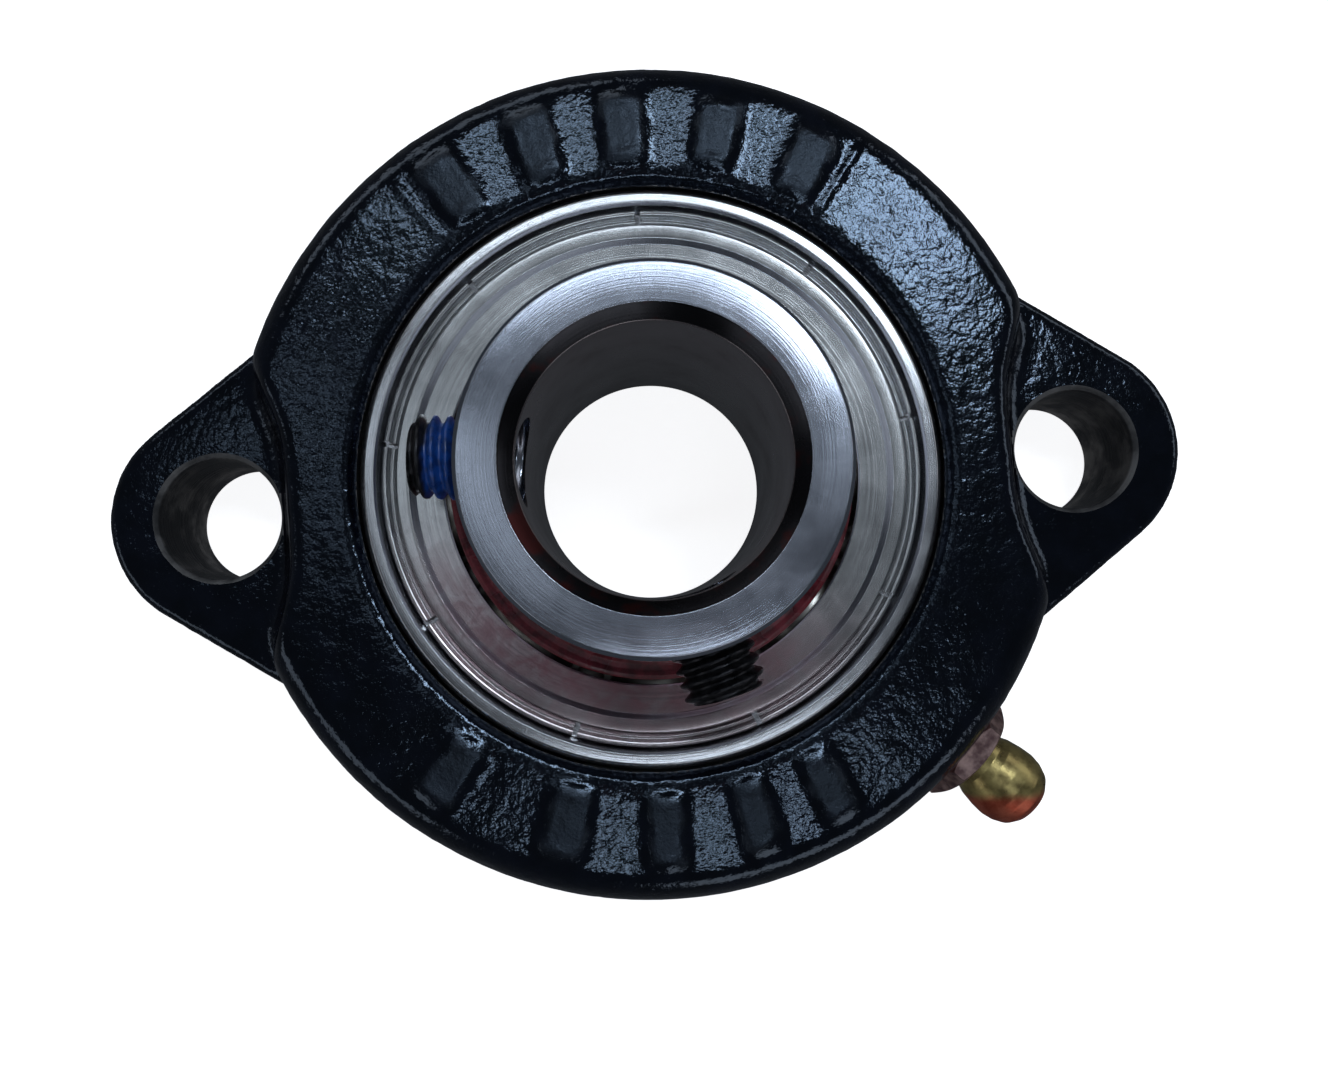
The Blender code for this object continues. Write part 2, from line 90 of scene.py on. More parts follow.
def make(name, mesh, mats=()):
    ob = bpy.data.objects.new(name, mesh)
    bpy.context.scene.collection.objects.link(ob)
    for m in mats:
        ob.data.materials.append(m)
    return ob


def smooth(mesh, angle=30.0):
    mesh.shade_smooth()
    mesh.set_sharp_from_angle(angle=math.radians(angle))


def bake_modifiers(ob):
    """Applies an object's modifiers and leaves it with the plain result."""
    bpy.context.view_layer.update()
    dg = bpy.context.evaluated_depsgraph_get()
    mesh = bpy.data.meshes.new_from_object(ob.evaluated_get(dg))
    old = ob.data
    ob.modifiers.clear()
    ob.data = mesh
    if old.users == 0:
        bpy.data.meshes.remove(old)
    return ob


def cut(ob, cutters, solver="EXACT", operation="DIFFERENCE"):
    for c in cutters:
        mod = ob.modifiers.new("cut", "BOOLEAN")
        mod.operation = operation
        mod.solver = solver
        mod.object = c
    bake_modifiers(ob)
    for c in cutters:
        bpy.data.objects.remove(c, do_unlink=True)
    return ob


def fillet(profile, radii, steps=4):
    """Closed (r, z) outline with its corners rounded; a radius of 0 keeps a corner."""
    n = len(profile)
    out = []
    for i, (p, rad) in enumerate(zip(profile, radii)):
        p = np.array(p, float)
        if rad <= 0:
            out.append(tuple(p))
            continue
        a = np.array(profile[i - 1], float) - p
        b = np.array(profile[(i + 1) % n], float) - p
        la, lb = np.linalg.norm(a), np.linalg.norm(b)
        a, b = a / la, b / lb
        dot = float(np.clip(a @ b, -1, 1))
        half = 0.5 * math.acos(dot)
        if half > math.radians(88):
            out.append(tuple(p))
            continue
        t = min(rad / math.tan(half), 0.49 * la, 0.49 * lb)
        rr = t * math.tan(half)
        centre = p + (a + b) / np.linalg.norm(a + b) * (rr / math.sin(half))
        s, e = p + a * t - centre, p + b * t - centre
        a0, a1 = math.atan2(s[1], s[0]), math.atan2(e[1], e[0])
        d = (a1 - a0 + math.pi) % (2 * math.pi) - math.pi
        for k in range(steps + 1):
            g = a0 + d * k / steps
            out.append((centre[0] + rr * math.cos(g), centre[1] + rr * math.sin(g)))
    return out


def arc(cx, cz, radius, start, end, count):
    return [(cx + radius * math.cos(math.radians(start + (end - start) * i / count)),
             cz + radius * math.sin(math.radians(start + (end - start) * i / count)))
            for i in range(count + 1)]


def lathe(name, profile, steps, closed=True, wobble=None):
    """Turned solid about Z from an (r, z) outline in mm. Open outlines start and end on the axis."""
    prof = [(max(r, 0.0), z) for r, z in profile]
    pts, index = [], []
    for r, z in prof:
        if r < 1e-9:
            index.append([len(pts)] * steps)
            pts.append((0.0, 0.0, z))
        else:
            row = []
            for k in range(steps):
                a = 2 * math.pi * k / steps
                row.append(len(pts))
                pts.append((r * math.cos(a), r * math.sin(a), z))
            index.append(row)
    faces = []
    n = len(prof)
    for i in range(n if closed else n - 1):
        lo, hi = index[i], index[(i + 1) % n]
        for k in range(steps):
            f = [lo[k], lo[(k + 1) % steps], hi[(k + 1) % steps], hi[k]]
            f = [v for j, v in enumerate(f) if v != f[j - 1]]
            if len(f) >= 3:
                faces.append(f)
    return mesh_from(name, pts, faces)


def threaded(name, low, high, major, minor, pitch, per_turn=48, axial=0.09,
             lead_low=0.5, lead_high=0.35, crest=0.18, cap_low=None, cap_high=None):
    """Threaded rod along Z: the radius runs round a helix and fades out at each end."""
    rows = int(round((high - low) / axial))
    pts, index = [], []
    for i in range(rows + 1):
        z = low + (high - low) * i / rows
        row = []
        for k in range(per_turn):
            a = 2 * math.pi * k / per_turn
            t = (z / pitch - k / per_turn) % 1.0
            ramp = abs(2 * t - 1)                      # 1 at the crest, 0 at the root
            s = np.clip((ramp - crest) / (1 - 2 * crest), 0, 1)
            s = s * s * (3 - 2 * s) * 0.35 + s * 0.65
            r = minor + (major - minor) * s
            r = min(r, major - max(0.0, lead_low - (z - low)), major - max(0.0, lead_high - (high - z)))
            row.append(len(pts))
            pts.append((r * math.cos(a), r * math.sin(a), z))
        index.append(row)
    faces = [[index[i][k], index[i][(k + 1) % per_turn], index[i + 1][(k + 1) % per_turn], index[i + 1][k]]
             for i in range(rows) for k in range(per_turn)]
    for row, z, tip in ((index[0], low, cap_low), (index[-1], high, cap_high)):
        centre = len(pts)
        pts.append((0.0, 0.0, z if tip is None else tip))
        faces += [[row[k], row[(k + 1) % per_turn], centre] for k in range(per_turn)]
    return mesh_from(name, pts, faces)


def prism(name, corners, low, high, rows=1):
    """Straight-sided solid from an outline in mm."""
    n = len(corners)
    pts = []
    for i in range(rows + 1):
        z = low + (high - low) * i / rows
        pts += [(x, y, z) for x, y in corners]
    faces = [list(range(n)), list(range(rows * n, rows * n + n))]
    for i in range(rows):
        faces += [[i * n + k, i * n + (k + 1) % n, (i + 1) * n + (k + 1) % n, (i + 1) * n + k]
                  for k in range(n)]
    return mesh_from(name, pts, faces)


def hexagon(flats, turn=30.0):
    r = flats / math.sqrt(3.0)
    return [(r * math.cos(math.radians(60 * i + turn)), r * math.sin(math.radians(60 * i + turn)))
            for i in range(6)]


# ---------------------------------------------------- smooth noise for shapes
def _hash(ix, iy, iz, seed):
    h = (ix.astype(np.uint32) * np.uint32(374761393) + iy.astype(np.uint32) * np.uint32(668265263)
         + iz.astype(np.uint32) * np.uint32(2147483647) + np.uint32(seed * 974711 + 12345))
    h = (h ^ (h >> np.uint32(13))) * np.uint32(1274126177)
    h = h ^ (h >> np.uint32(16))
    return h


def noise(p, scale, seed):
    """Gradient noise near -1..1 at mm points p, features about `scale` mm wide."""
    q = np.asarray(p, float) / scale + 1000.0
    base = np.floor(q).astype(np.int64)
    f = q - base
    u = f * f * f * (f * (f * 6 - 15) + 10)
    total = np.zeros(len(q))
    for dx in (0, 1):
        for dy in (0, 1):
            for dz in (0, 1):
                h = _hash(base[:, 0] + dx, base[:, 1] + dy, base[:, 2] + dz, seed)
                g1 = (h & np.uint32(1023)).astype(float) / 511.5 - 1
                g2 = ((h >> np.uint32(10)) & np.uint32(1023)).astype(float) / 511.5 - 1
                g3 = ((h >> np.uint32(20)) & np.uint32(1023)).astype(float) / 511.5 - 1
                dot = g1 * (f[:, 0] - dx) + g2 * (f[:, 1] - dy) + g3 * (f[:, 2] - dz)
                w = ((u[:, 0] if dx else 1 - u[:, 0]) * (u[:, 1] if dy else 1 - u[:, 1])
                     * (u[:, 2] if dz else 1 - u[:, 2]))
                total += w * dot
    return total * 1.4


def smin(a, b, k):
    h = np.clip(0.5 + 0.5 * (b - a) / k, 0, 1)
    return b + (a - b) * h - k * h * (1 - h)


def smax(a, b, k):
    return -smin(-a, -b, k)


def outline_distance(points, x, y):
    """Signed distance from (x, y) to a closed outline, negative inside."""
    best = np.full(x.shape, 1e9)
    inside = np.zeros(x.shape, bool)
    n = len(points)
    for i in range(n):
        ax, ay = points[i]
        bx, by = points[(i + 1) % n]
        ex, ey = bx - ax, by - ay
        wx, wy = x - ax, y - ay
        t = np.clip((wx * ex + wy * ey) / (ex * ex + ey * ey + 1e-12), 0, 1)
        best = np.minimum(best, (wx - ex * t) ** 2 + (wy - ey * t) ** 2)
        if ay != by:
            cross = ((ay <= y) != (by <= y)) & (x < ax + (y - ay) * ex / ey)
            inside ^= cross
    best = np.sqrt(best)
    return np.where(inside, -best, best)


def surface(field, origin, step):
    """Quads on the zero level of a field sampled on a grid, negative inside."""
    s = field < 0
    nx, ny, nz = field.shape
    count = np.zeros((nx - 1, ny - 1, nz - 1), np.uint8)
    corner = [(i, j, k) for i in (0, 1) for j in (0, 1) for k in (0, 1)]
    for i, j, k in corner:
        count += s[i:nx - 1 + i, j:ny - 1 + j, k:nz - 1 + k]
    active = (count > 0) & (count < 8)
    cells = np.argwhere(active)
    index = np.full(active.shape, -1, np.int64)
    index[active] = np.arange(len(cells))
    total = np.zeros((len(cells), 3))
    hits = np.zeros(len(cells))
    val = {c: field[cells[:, 0] + c[0], cells[:, 1] + c[1], cells[:, 2] + c[2]] for c in corner}
    for a in corner:
        for axis in range(3):
            if a[axis]:
                continue
            b = list(a)
            b[axis] = 1
            fa, fb = val[a], val[tuple(b)]
            on = (fa < 0) != (fb < 0)
            t = np.where(on, fa / np.where(on, fa - fb, 1.0), 0.0)
            p = np.zeros((len(cells), 3))
            p += np.array(a)
            p[:, axis] += t
            total += p * on[:, None]
            hits += on
    verts = (cells + total / hits[:, None]) * step + np.array(origin)
    quads = []
    for axis in range(3):
        u, v = (axis + 1) % 3, (axis + 2) % 3
        lo = [slice(None)] * 3
        hi = [slice(None)] * 3
        lo[axis], hi[axis] = slice(0, -1), slice(1, None)
        a, b = s[tuple(lo)], s[tuple(hi)]
        e = np.argwhere(a != b)
        ok = (e[:, u] > 0) & (e[:, v] > 0) & (e[:, u] < field.shape[u] - 1) & (e[:, v] < field.shape[v] - 1)
        e = e[ok]
        inward = a[e[:, 0], e[:, 1], e[:, 2]]

        def at(du, dv):
            c = e.copy()
            c[:, u] -= du
            c[:, v] -= dv
            return index[c[:, 0], c[:, 1], c[:, 2]]
        q = np.stack([at(1, 1), at(0, 1), at(0, 0), at(1, 0)], 1)
        q[~inward] = q[~inward][:, ::-1]
        quads.append(q)
    return verts, np.concatenate(quads)


def fast_mesh(name, points_mm, quads):
    mesh = bpy.data.meshes.new(name)
    n, m = len(points_mm), len(quads)
    mesh.vertices.add(n)
    mesh.vertices.foreach_set("co", (points_mm * MM).astype(np.float32).ravel())
    mesh.loops.add(m * 4)
    mesh.loops.foreach_set("vertex_index", quads.astype(np.int32).ravel())
    mesh.polygons.add(m)
    mesh.polygons.foreach_set("loop_start", np.arange(0, m * 4, 4, dtype=np.int32))
    mesh.update(calc_edges=True)
    mesh.validate()
    return mesh


def vertex_normals(points, quads):
    d1 = points[quads[:, 2]] - points[quads[:, 0]]
    d2 = points[quads[:, 3]] - points[quads[:, 1]]
    fn = np.cross(d1, d2)
    n = np.zeros_like(points)
    for k in range(4):
        np.add.at(n, quads[:, k], fn)
    return n / np.maximum(np.linalg.norm(n, axis=1), 1e-12)[:, None]


# ================================================================= materials
class Nodes:
    """Short calls for building a node tree."""

    def __init__(self, name):
        self.mat = bpy.data.materials.new(name)
        self.mat.use_nodes = True
        self.tree = self.mat.node_tree
        self.n = self.tree.nodes
        self.bsdf = self.n["Principled BSDF"]
        self.coord = self.new("ShaderNodeTexCoord").outputs["Object"]

    def new(self, kind, **props):
        node = self.n.new(kind)
        for k, v in props.items():
            setattr(node, k, v)
        return node

    def link(self, a, b):
        self.tree.links.new(a, b)

    def put(self, socket, value):
        if hasattr(value, "is_output"):
            self.link(value, socket)
        else:
            socket.default_value = value

    def math(self, op, a, b=None, clamp=False):
        node = self.new("ShaderNodeMath", operation=op, use_clamp=clamp)
        self.put(node.inputs[0], a)
        if b is not None:
            self.put(node.inputs[1], b)
        return node.outputs[0]

    def noise(self, scale, detail=2.0, rough=0.5, vector=None, distortion=0.0):
        node = self.new("ShaderNodeTexNoise")
        self.link(vector or self.coord, node.inputs["Vector"])
        node.inputs["Scale"].default_value = scale
        node.inputs["Detail"].default_value = detail
        node.inputs["Roughness"].default_value = rough
        node.inputs["Distortion"].default_value = distortion
        return node.outputs[0]

    def voronoi(self, scale, feature="F1", vector=None, randomness=1.0):
        node = self.new("ShaderNodeTexVoronoi", feature=feature)
        self.link(vector or self.coord, node.inputs["Vector"])
        node.inputs["Scale"].default_value = scale
        node.inputs["Randomness"].default_value = randomness
        return node.outputs["Distance"]

    def ramp(self, fac, low, high, to_low=0.0, to_high=1.0, smooth=True):
        node = self.new("ShaderNodeMapRange", clamp=True,
                        interpolation_type="SMOOTHSTEP" if smooth else "LINEAR")
        self.link(fac, node.inputs["Value"])
        for key, v in (("From Min", low), ("From Max", high), ("To Min", to_low), ("To Max", to_high)):
            node.inputs[key].default_value = v
        return node.outputs["Result"]

    def mix(self, fac, a, b):
        node = self.new("ShaderNodeMix", data_type="RGBA")
        self.put(node.inputs[0], fac)
        self.put(node.inputs[6], a if hasattr(a, "is_output") else (*a, 1.0))
        self.put(node.inputs[7], b if hasattr(b, "is_output") else (*b, 1.0))
        return node.outputs[2]

    def xyz(self, vector=None):
        node = self.new("ShaderNodeSeparateXYZ")
        self.link(vector or self.coord, node.inputs[0])
        return node.outputs

    def axial(self, direction):
        """Distance along a direction through the origin."""
        node = self.new("ShaderNodeVectorMath", operation="DOT_PRODUCT")
        self.link(self.coord, node.inputs[0])
        node.inputs[1].default_value = direction
        return node.outputs["Value"]

    def radius(self):
        node = self.new("ShaderNodeVectorMath", operation="MULTIPLY")
        self.link(self.coord, node.inputs[0])
        node.inputs[1].default_value = (1.0, 1.0, 0.0)
        length = self.new("ShaderNodeVectorMath", operation="LENGTH")
        self.link(node.outputs[0], length.inputs[0])
        return length.outputs["Value"]

    def lines(self, value, scale, detail=3.0, rough=0.65):
        """Fine parallel tool marks that run across `value`."""
        node = self.new("ShaderNodeTexNoise", noise_dimensions="1D")
        self.link(value, node.inputs["W"])
        node.inputs["Scale"].default_value = scale
        node.inputs["Detail"].default_value = detail
        node.inputs["Roughness"].default_value = rough
        return node.outputs[0]

    def add(self, *items):
        """Weighted sum of (socket, weight) pairs."""
        total = None
        for socket, weight in items:
            part = self.math("MULTIPLY", socket, weight)
            total = part if total is None else self.math("ADD", total, part)
        return total

    def bump(self, height, distance, strength=1.0, normal=None):
        node = self.new("ShaderNodeBump")
        node.inputs["Strength"].default_value = strength
        node.inputs["Distance"].default_value = distance
        self.link(height, node.inputs["Height"])
        if normal:
            self.link(normal, node.inputs["Normal"])
        return node.outputs["Normal"]

    def finish(self, colour, rough, metallic=0.0, normal=None, **fixed):
        b = self.bsdf.inputs
        self.put(b["Base Color"], colour)
        self.put(b["Roughness"], rough)
        b["Metallic"].default_value = metallic
        if normal:
            self.link(normal, b["Normal"])
        for key, v in fixed.items():
            b[key.replace("_", " ")].default_value = v
        return self.mat


def enamel():
    """Thick glossy black enamel over a sand casting."""
    m = Nodes("black_enamel")
    matt = m.new("ShaderNodeAttribute", attribute_name="matt").outputs["Fac"]
    broad = m.noise(120.0, 2.0)
    pebble = m.noise(2300.0, 2.0, 0.55)
    fine = m.noise(5200.0, 2.0, 0.5)
    pool = m.voronoi(1700.0, "SMOOTH_F1")
    colour = m.mix(m.ramp(m.noise(420.0, 3.0), 0.35, 0.70),
                   (0.0010, 0.0013, 0.0026), (0.0024, 0.0030, 0.0064))
    specks = m.ramp(m.noise(2600.0, 1.0), 0.74, 0.80)
    colour = m.mix(m.math("MULTIPLY", specks, 0.30), colour, (0.050, 0.054, 0.070))
    rough = m.add((m.ramp(broad, 0.30, 0.72, 0.085, 0.135), 1.0),
                  (m.ramp(pebble, 0.35, 0.75, -0.02, 0.03), 1.0), (matt, 0.30))
    height = m.add((pebble, 0.55), (fine, 0.16), (pool, -0.34), (m.math("MULTIPLY", fine, matt), 0.35))
    normal = m.bump(height, 0.000070, 0.95)
    return m.finish(colour, rough, 0.0, normal, IOR=1.54, Specular_Tint=(0.62, 0.78, 1.0, 1.0))


def bare_iron():
    """Machined grey iron: seat, mounting face and bores."""
    m = Nodes("machined_iron")
    r, z = m.radius(), m.xyz()[2]
    along = m.math("ADD", r, m.math("MULTIPLY", z, 0.8))
    marks = m.lines(along, 5200.0, 2.0)
    stain = m.noise(260.0, 4.0, 0.6)
    pores = m.ramp(m.noise(3800.0, 1.0), 0.66, 0.74)
    colour = m.mix(m.ramp(stain, 0.36, 0.68), (0.145, 0.140, 0.138), (0.235, 0.230, 0.228))
    colour = m.mix(m.math("MULTIPLY", pores, 0.7), colour, (0.045, 0.040, 0.038))
    rough = m.ramp(stain, 0.3, 0.7, 0.40, 0.58)
    normal = m.bump(m.add((marks, 0.8), (pores, -0.5)), 0.00003, 0.8)
    return m.finish(colour, rough, 0.85, normal)


def bolt_bore():
    """Drilled bolt holes with paint mist and handling wear."""
    m = Nodes("bolt_bore_iron")
    z = m.xyz()[2]
    marks = m.lines(z, 3000.0, 2.0)
    stain = m.noise(330.0, 4.0, 0.6)
    colour = m.mix(m.ramp(stain, 0.40, 0.66), (0.020, 0.021, 0.024), (0.115, 0.112, 0.112))
    rim = m.ramp(z, 0.0093, 0.0098)
    colour = m.mix(m.math("MULTIPLY", rim, m.ramp(stain, 0.3, 0.6, 0.25, 0.75)), colour, (0.20, 0.20, 0.205))
    rough = m.ramp(stain, 0.3, 0.7, 0.38, 0.60)
    return m.finish(colour, rough, 0.45, m.bump(marks, 0.00006, 0.8))


def red_primer():
    """Rusty primer left on the spot face round the grease nipple."""
    m = Nodes("spot_face_primer")
    a = m.noise(700.0, 4.0, 0.65)
    colour = m.mix(m.ramp(a, 0.38, 0.62), (0.110, 0.040, 0.030), (0.340, 0.165, 0.125))
    colour = m.mix(m.ramp(m.noise(1500.0, 2.0), 0.62, 0.72), colour, (0.020, 0.018, 0.020))
    return m.finish(colour, m.ramp(a, 0.3, 0.7, 0.50, 0.75), 0.1, m.bump(a, 0.00015, 0.9))


def steel(name, dark, light, rough_low, rough_high, marks_scale, marks_depth,
          spots=0.25, spot_colour=(0.16, 0.15, 0.15), warm=None):
    """Turned or ground steel: ring marks round the axis, stains and small spots; `warm` adds a painted warm
    reflection on the lower side.
    """
    m = Nodes(name)
    r, z = m.radius(), m.xyz()[2]
    along = m.math("ADD", r, m.math("MULTIPLY", z, 0.9))
    marks = m.lines(along, marks_scale, 4.0, 0.7)
    cloud = m.noise(150.0, 4.0, 0.6)
    smear = m.noise(620.0, 4.0, 0.65, distortion=0.6)
    fac = m.add((m.ramp(cloud, 0.25, 0.75), 0.35), (m.ramp(marks, 0.3, 0.7), 0.40), (smear, 0.25))
    colour = m.mix(fac, dark, light)
    # warm pink tone on the lower (-Y) side, patchy and strongest towards the inner radius: a painted warm
    # reflection
    if warm:
        tone, low, high = warm
        lower = m.ramp(m.axial((0.25, 1.0, 0.0)), -0.004, -0.016)
        painted_reflection_patch = m.math("MULTIPLY", m.ramp(r, high, low, 0.35, 1.0), m.ramp(smear, 0.25, 0.65, 0.55, 1.0))
        colour = m.mix(m.math("MULTIPLY", lower, painted_reflection_patch), colour, tone)
    dots = m.ramp(m.noise(2400.0, 2.0), 0.69, 0.76)
    colour = m.mix(m.math("MULTIPLY", dots, spots), colour, spot_colour)
    rough = m.add((m.ramp(cloud, 0.20, 0.80, rough_low, rough_high), 1.0),
                  (m.ramp(smear, 0.35, 0.75, -0.01, 0.02), 1.0))
    normal = m.bump(marks, marks_depth, 0.7)
    return m.finish(colour, rough, 1.0, normal)


def bore_finish():
    """Honed bore with a brown oil film and painted shade, darker towards the back, deeper in the bore; the
    lead-in is painted nearly black as a painted dark reflection.
    """
    m = Nodes("inner_ring_bore")
    r, z = m.radius(), m.xyz()[2]
    marks = m.lines(z, 4200.0, 3.0)
    film = m.noise(210.0, 4.0, 0.6)
    # painted shade: darker towards the back of the bore, lighter at the front
    depth = m.ramp(m.math("ADD", z, m.add((film, 0.006))), 0.006, 0.026, smooth=False)
    colour = m.mix(depth, (0.115, 0.105, 0.105), (0.400, 0.360, 0.370))
    colour = m.mix(m.ramp(film, 0.55, 0.75, 0.0, 0.35), colour, (0.150, 0.120, 0.115))
    # lead-in chamfer painted nearly black as a painted dark reflection; its reddish patches come from the film
    # noise
    lead = m.math("MULTIPLY", m.ramp(r, 0.00955, 0.00962), m.ramp(z, 0.02575, 0.02585))
    colour = m.mix(lead, colour, m.mix(m.ramp(film, 0.52, 0.66), (0.030, 0.030, 0.034), (0.075, 0.022, 0.022)))
    rough = m.add((m.ramp(film, 0.3, 0.7, 0.26, 0.38), 1.0), (lead, -0.04))
    return m.finish(colour, rough, 1.0, m.bump(marks, 0.000012, 0.7))


def ball_finish():
    m = Nodes("ball_polished")
    film = m.noise(420.0, 3.0)
    colour = m.mix(film, (0.58, 0.58, 0.60), (0.72, 0.72, 0.73))
    return m.finish(colour, m.ramp(film, 0.3, 0.7, 0.06, 0.16), 1.0,
                    m.bump(m.noise(5200.0, 2.0), 0.000004, 0.5))


def cage_finish():
    m = Nodes("cage_pressed_steel")
    grain = m.noise(900.0, 4.0, 0.6)
    colour = m.mix(grain, (0.30, 0.29, 0.27), (0.50, 0.48, 0.45))
    oil = m.ramp(m.noise(230.0, 2.0), 0.52, 0.66)
    colour = m.mix(m.math("MULTIPLY", oil, 0.45), colour, (0.20, 0.13, 0.07))
    return m.finish(colour, m.ramp(grain, 0.3, 0.7, 0.28, 0.46), 0.95, m.bump(grain, 0.00003, 0.7))


def rubber():
    """Moulded nitrile lip, dark oxblood, with a greasy film."""
    m = Nodes("lip_rubber")
    mottling = m.noise(900.0, 4.0, 0.6)
    film = m.noise(260.0, 3.0, 0.6)
    colour = m.mix(m.ramp(mottling, 0.35, 0.68), (0.060, 0.006, 0.009), (0.170, 0.018, 0.028))
    rough = m.ramp(film, 0.36, 0.66, 0.24, 0.52)
    return m.finish(colour, rough, 0.0, m.bump(m.noise(2600.0, 3.0), 0.00003, 0.8), IOR=1.5)


def oxide(name, patch_angle=None):
    """Black-oxide screw steel; one screw also carries a blue thread-lock patch."""
    m = Nodes(name)
    grain = m.noise(1300.0, 4.0, 0.6)
    colour = m.mix(m.ramp(grain, 0.35, 0.70), (0.006, 0.006, 0.008), (0.030, 0.030, 0.034))
    rough = m.ramp(grain, 0.3, 0.7, 0.26, 0.44)
    if patch_angle is not None:
        a = math.radians(patch_angle)
        t = m.axial((math.cos(a), math.sin(a), 0.0))
        edge = m.math("ADD", t, m.add((m.noise(900.0, 3.0), 0.0006)))
        inside = m.math("MULTIPLY", m.ramp(edge, 0.01275, 0.01300), m.ramp(edge, 0.01645, 0.01610))
        tone = m.mix(m.ramp(m.noise(1500.0, 2.0), 0.35, 0.65), (0.0015, 0.024, 0.130), (0.004, 0.055, 0.280))
        colour = m.mix(inside, colour, tone)
        m.finish(colour, rough, 0.0, m.bump(grain, 0.00003, 0.7), IOR=1.6)
        metal = m.math("MULTIPLY", m.math("SUBTRACT", 1.0, inside), 0.75)
        m.link(metal, m.bsdf.inputs["Metallic"])
        return m.mat
    return m.finish(colour, rough, 0.75, m.bump(grain, 0.00003, 0.7))


def brass():
    """Grease nipple: olive-yellow plated head, pinkish brown hexagon, and a painted reddish reflection on the
    lower side.
    """
    m = Nodes("nipple_yellow_metal")
    a = math.radians(NIPPLE)
    t = m.axial((math.cos(a), math.sin(a), 0.0))
    stain = m.noise(620.0, 4.0, 0.65)
    colour = m.mix(m.ramp(stain, 0.30, 0.66), (0.200, 0.150, 0.058), (0.430, 0.345, 0.135))
    edge = m.math("ADD", t, m.add((m.noise(480.0, 3.0, 0.6), 0.0008)))
    foot = m.ramp(edge, 0.03590, 0.03530)
    pink = m.mix(m.ramp(m.noise(900.0, 3.0, 0.6), 0.30, 0.70), (0.110, 0.060, 0.070), (0.420, 0.285, 0.270))
    colour = m.mix(m.math("MULTIPLY", foot, 0.95), colour, pink)
    # reddish colour on the lower (-Y) side of the head, with a ragged edge: a painted reflection
    low = m.math("ADD", m.xyz()[1], m.add((m.noise(520.0, 3.0, 0.6), 0.0007)))
    side = m.math("MULTIPLY", m.ramp(low, -0.0272, -0.0281), m.math("SUBTRACT", 1.0, foot))
    painted_red_reflection = m.mix(m.ramp(stain, 0.30, 0.66), (0.360, 0.050, 0.026), (0.560, 0.130, 0.080))
    colour = m.mix(m.math("MULTIPLY", side, 0.92), colour, painted_red_reflection)
    rough = m.add((m.ramp(stain, 0.3, 0.7, 0.26, 0.40), 1.0), (foot, 0.14), (side, 0.08))
    return m.finish(colour, rough, 0.85, m.bump(stain, 0.00004, 0.8))


def wire_finish():
    m = Nodes("spring_wire")
    grain = m.noise(2400.0, 3.0)
    return m.finish(m.mix(grain, (0.38, 0.38, 0.40), (0.60, 0.60, 0.61)),
                    m.ramp(grain, 0.3, 0.7, 0.20, 0.34), 1.0, m.bump(grain, 0.00001, 0.6))


def floor_finish():
    m = Nodes("pale_floor")
    a = m.noise(14.0, 3.0)
    colour = m.mix(a, (0.86, 0.86, 0.87), (0.90, 0.90, 0.905))
    m.finish(colour, m.ramp(a, 0.3, 0.7, 0.7, 0.8), 0.0, m.bump(m.noise(900.0, 2.0), 0.0001, 0.2))
    m.link(colour, m.bsdf.inputs["Emission Color"])
    m.bsdf.inputs["Emission Strength"].default_value = 1.0
    return m.mat


ENAMEL = enamel()
IRON = bare_iron()
BOLT_IRON = bolt_bore()
PRIMER = red_primer()
RING = steel("outer_ring_steel", (0.50, 0.51, 0.54), (0.66, 0.67, 0.70), 0.16, 0.26, 6500.0, 0.000012)
GROUND = steel("inner_ring_ground_steel", (0.37, 0.40, 0.47), (0.50, 0.53, 0.61), 0.16, 0.24,
               5200.0, 0.000009, spots=0.35)
# the shield's warm tone is a painted warm reflection on its lower (-Y) side
SHIELD = steel("shield_zinc_steel", (0.42, 0.43, 0.44), (0.60, 0.605, 0.61), 0.18, 0.26, 2600.0, 0.000009,
               spots=0.30, warm=((0.27, 0.145, 0.165), 0.0170, 0.0215))
BORE = bore_finish()
RUBBER = rubber()
OXIDE = oxide("screw_black_oxide")
OXIDE_BLUE = oxide("screw_black_oxide_patch", SCREWS["set_screw_a"])
BRASS = brass()
BALL = ball_finish()
CAGE = cage_finish()
WIRE = wire_finish()


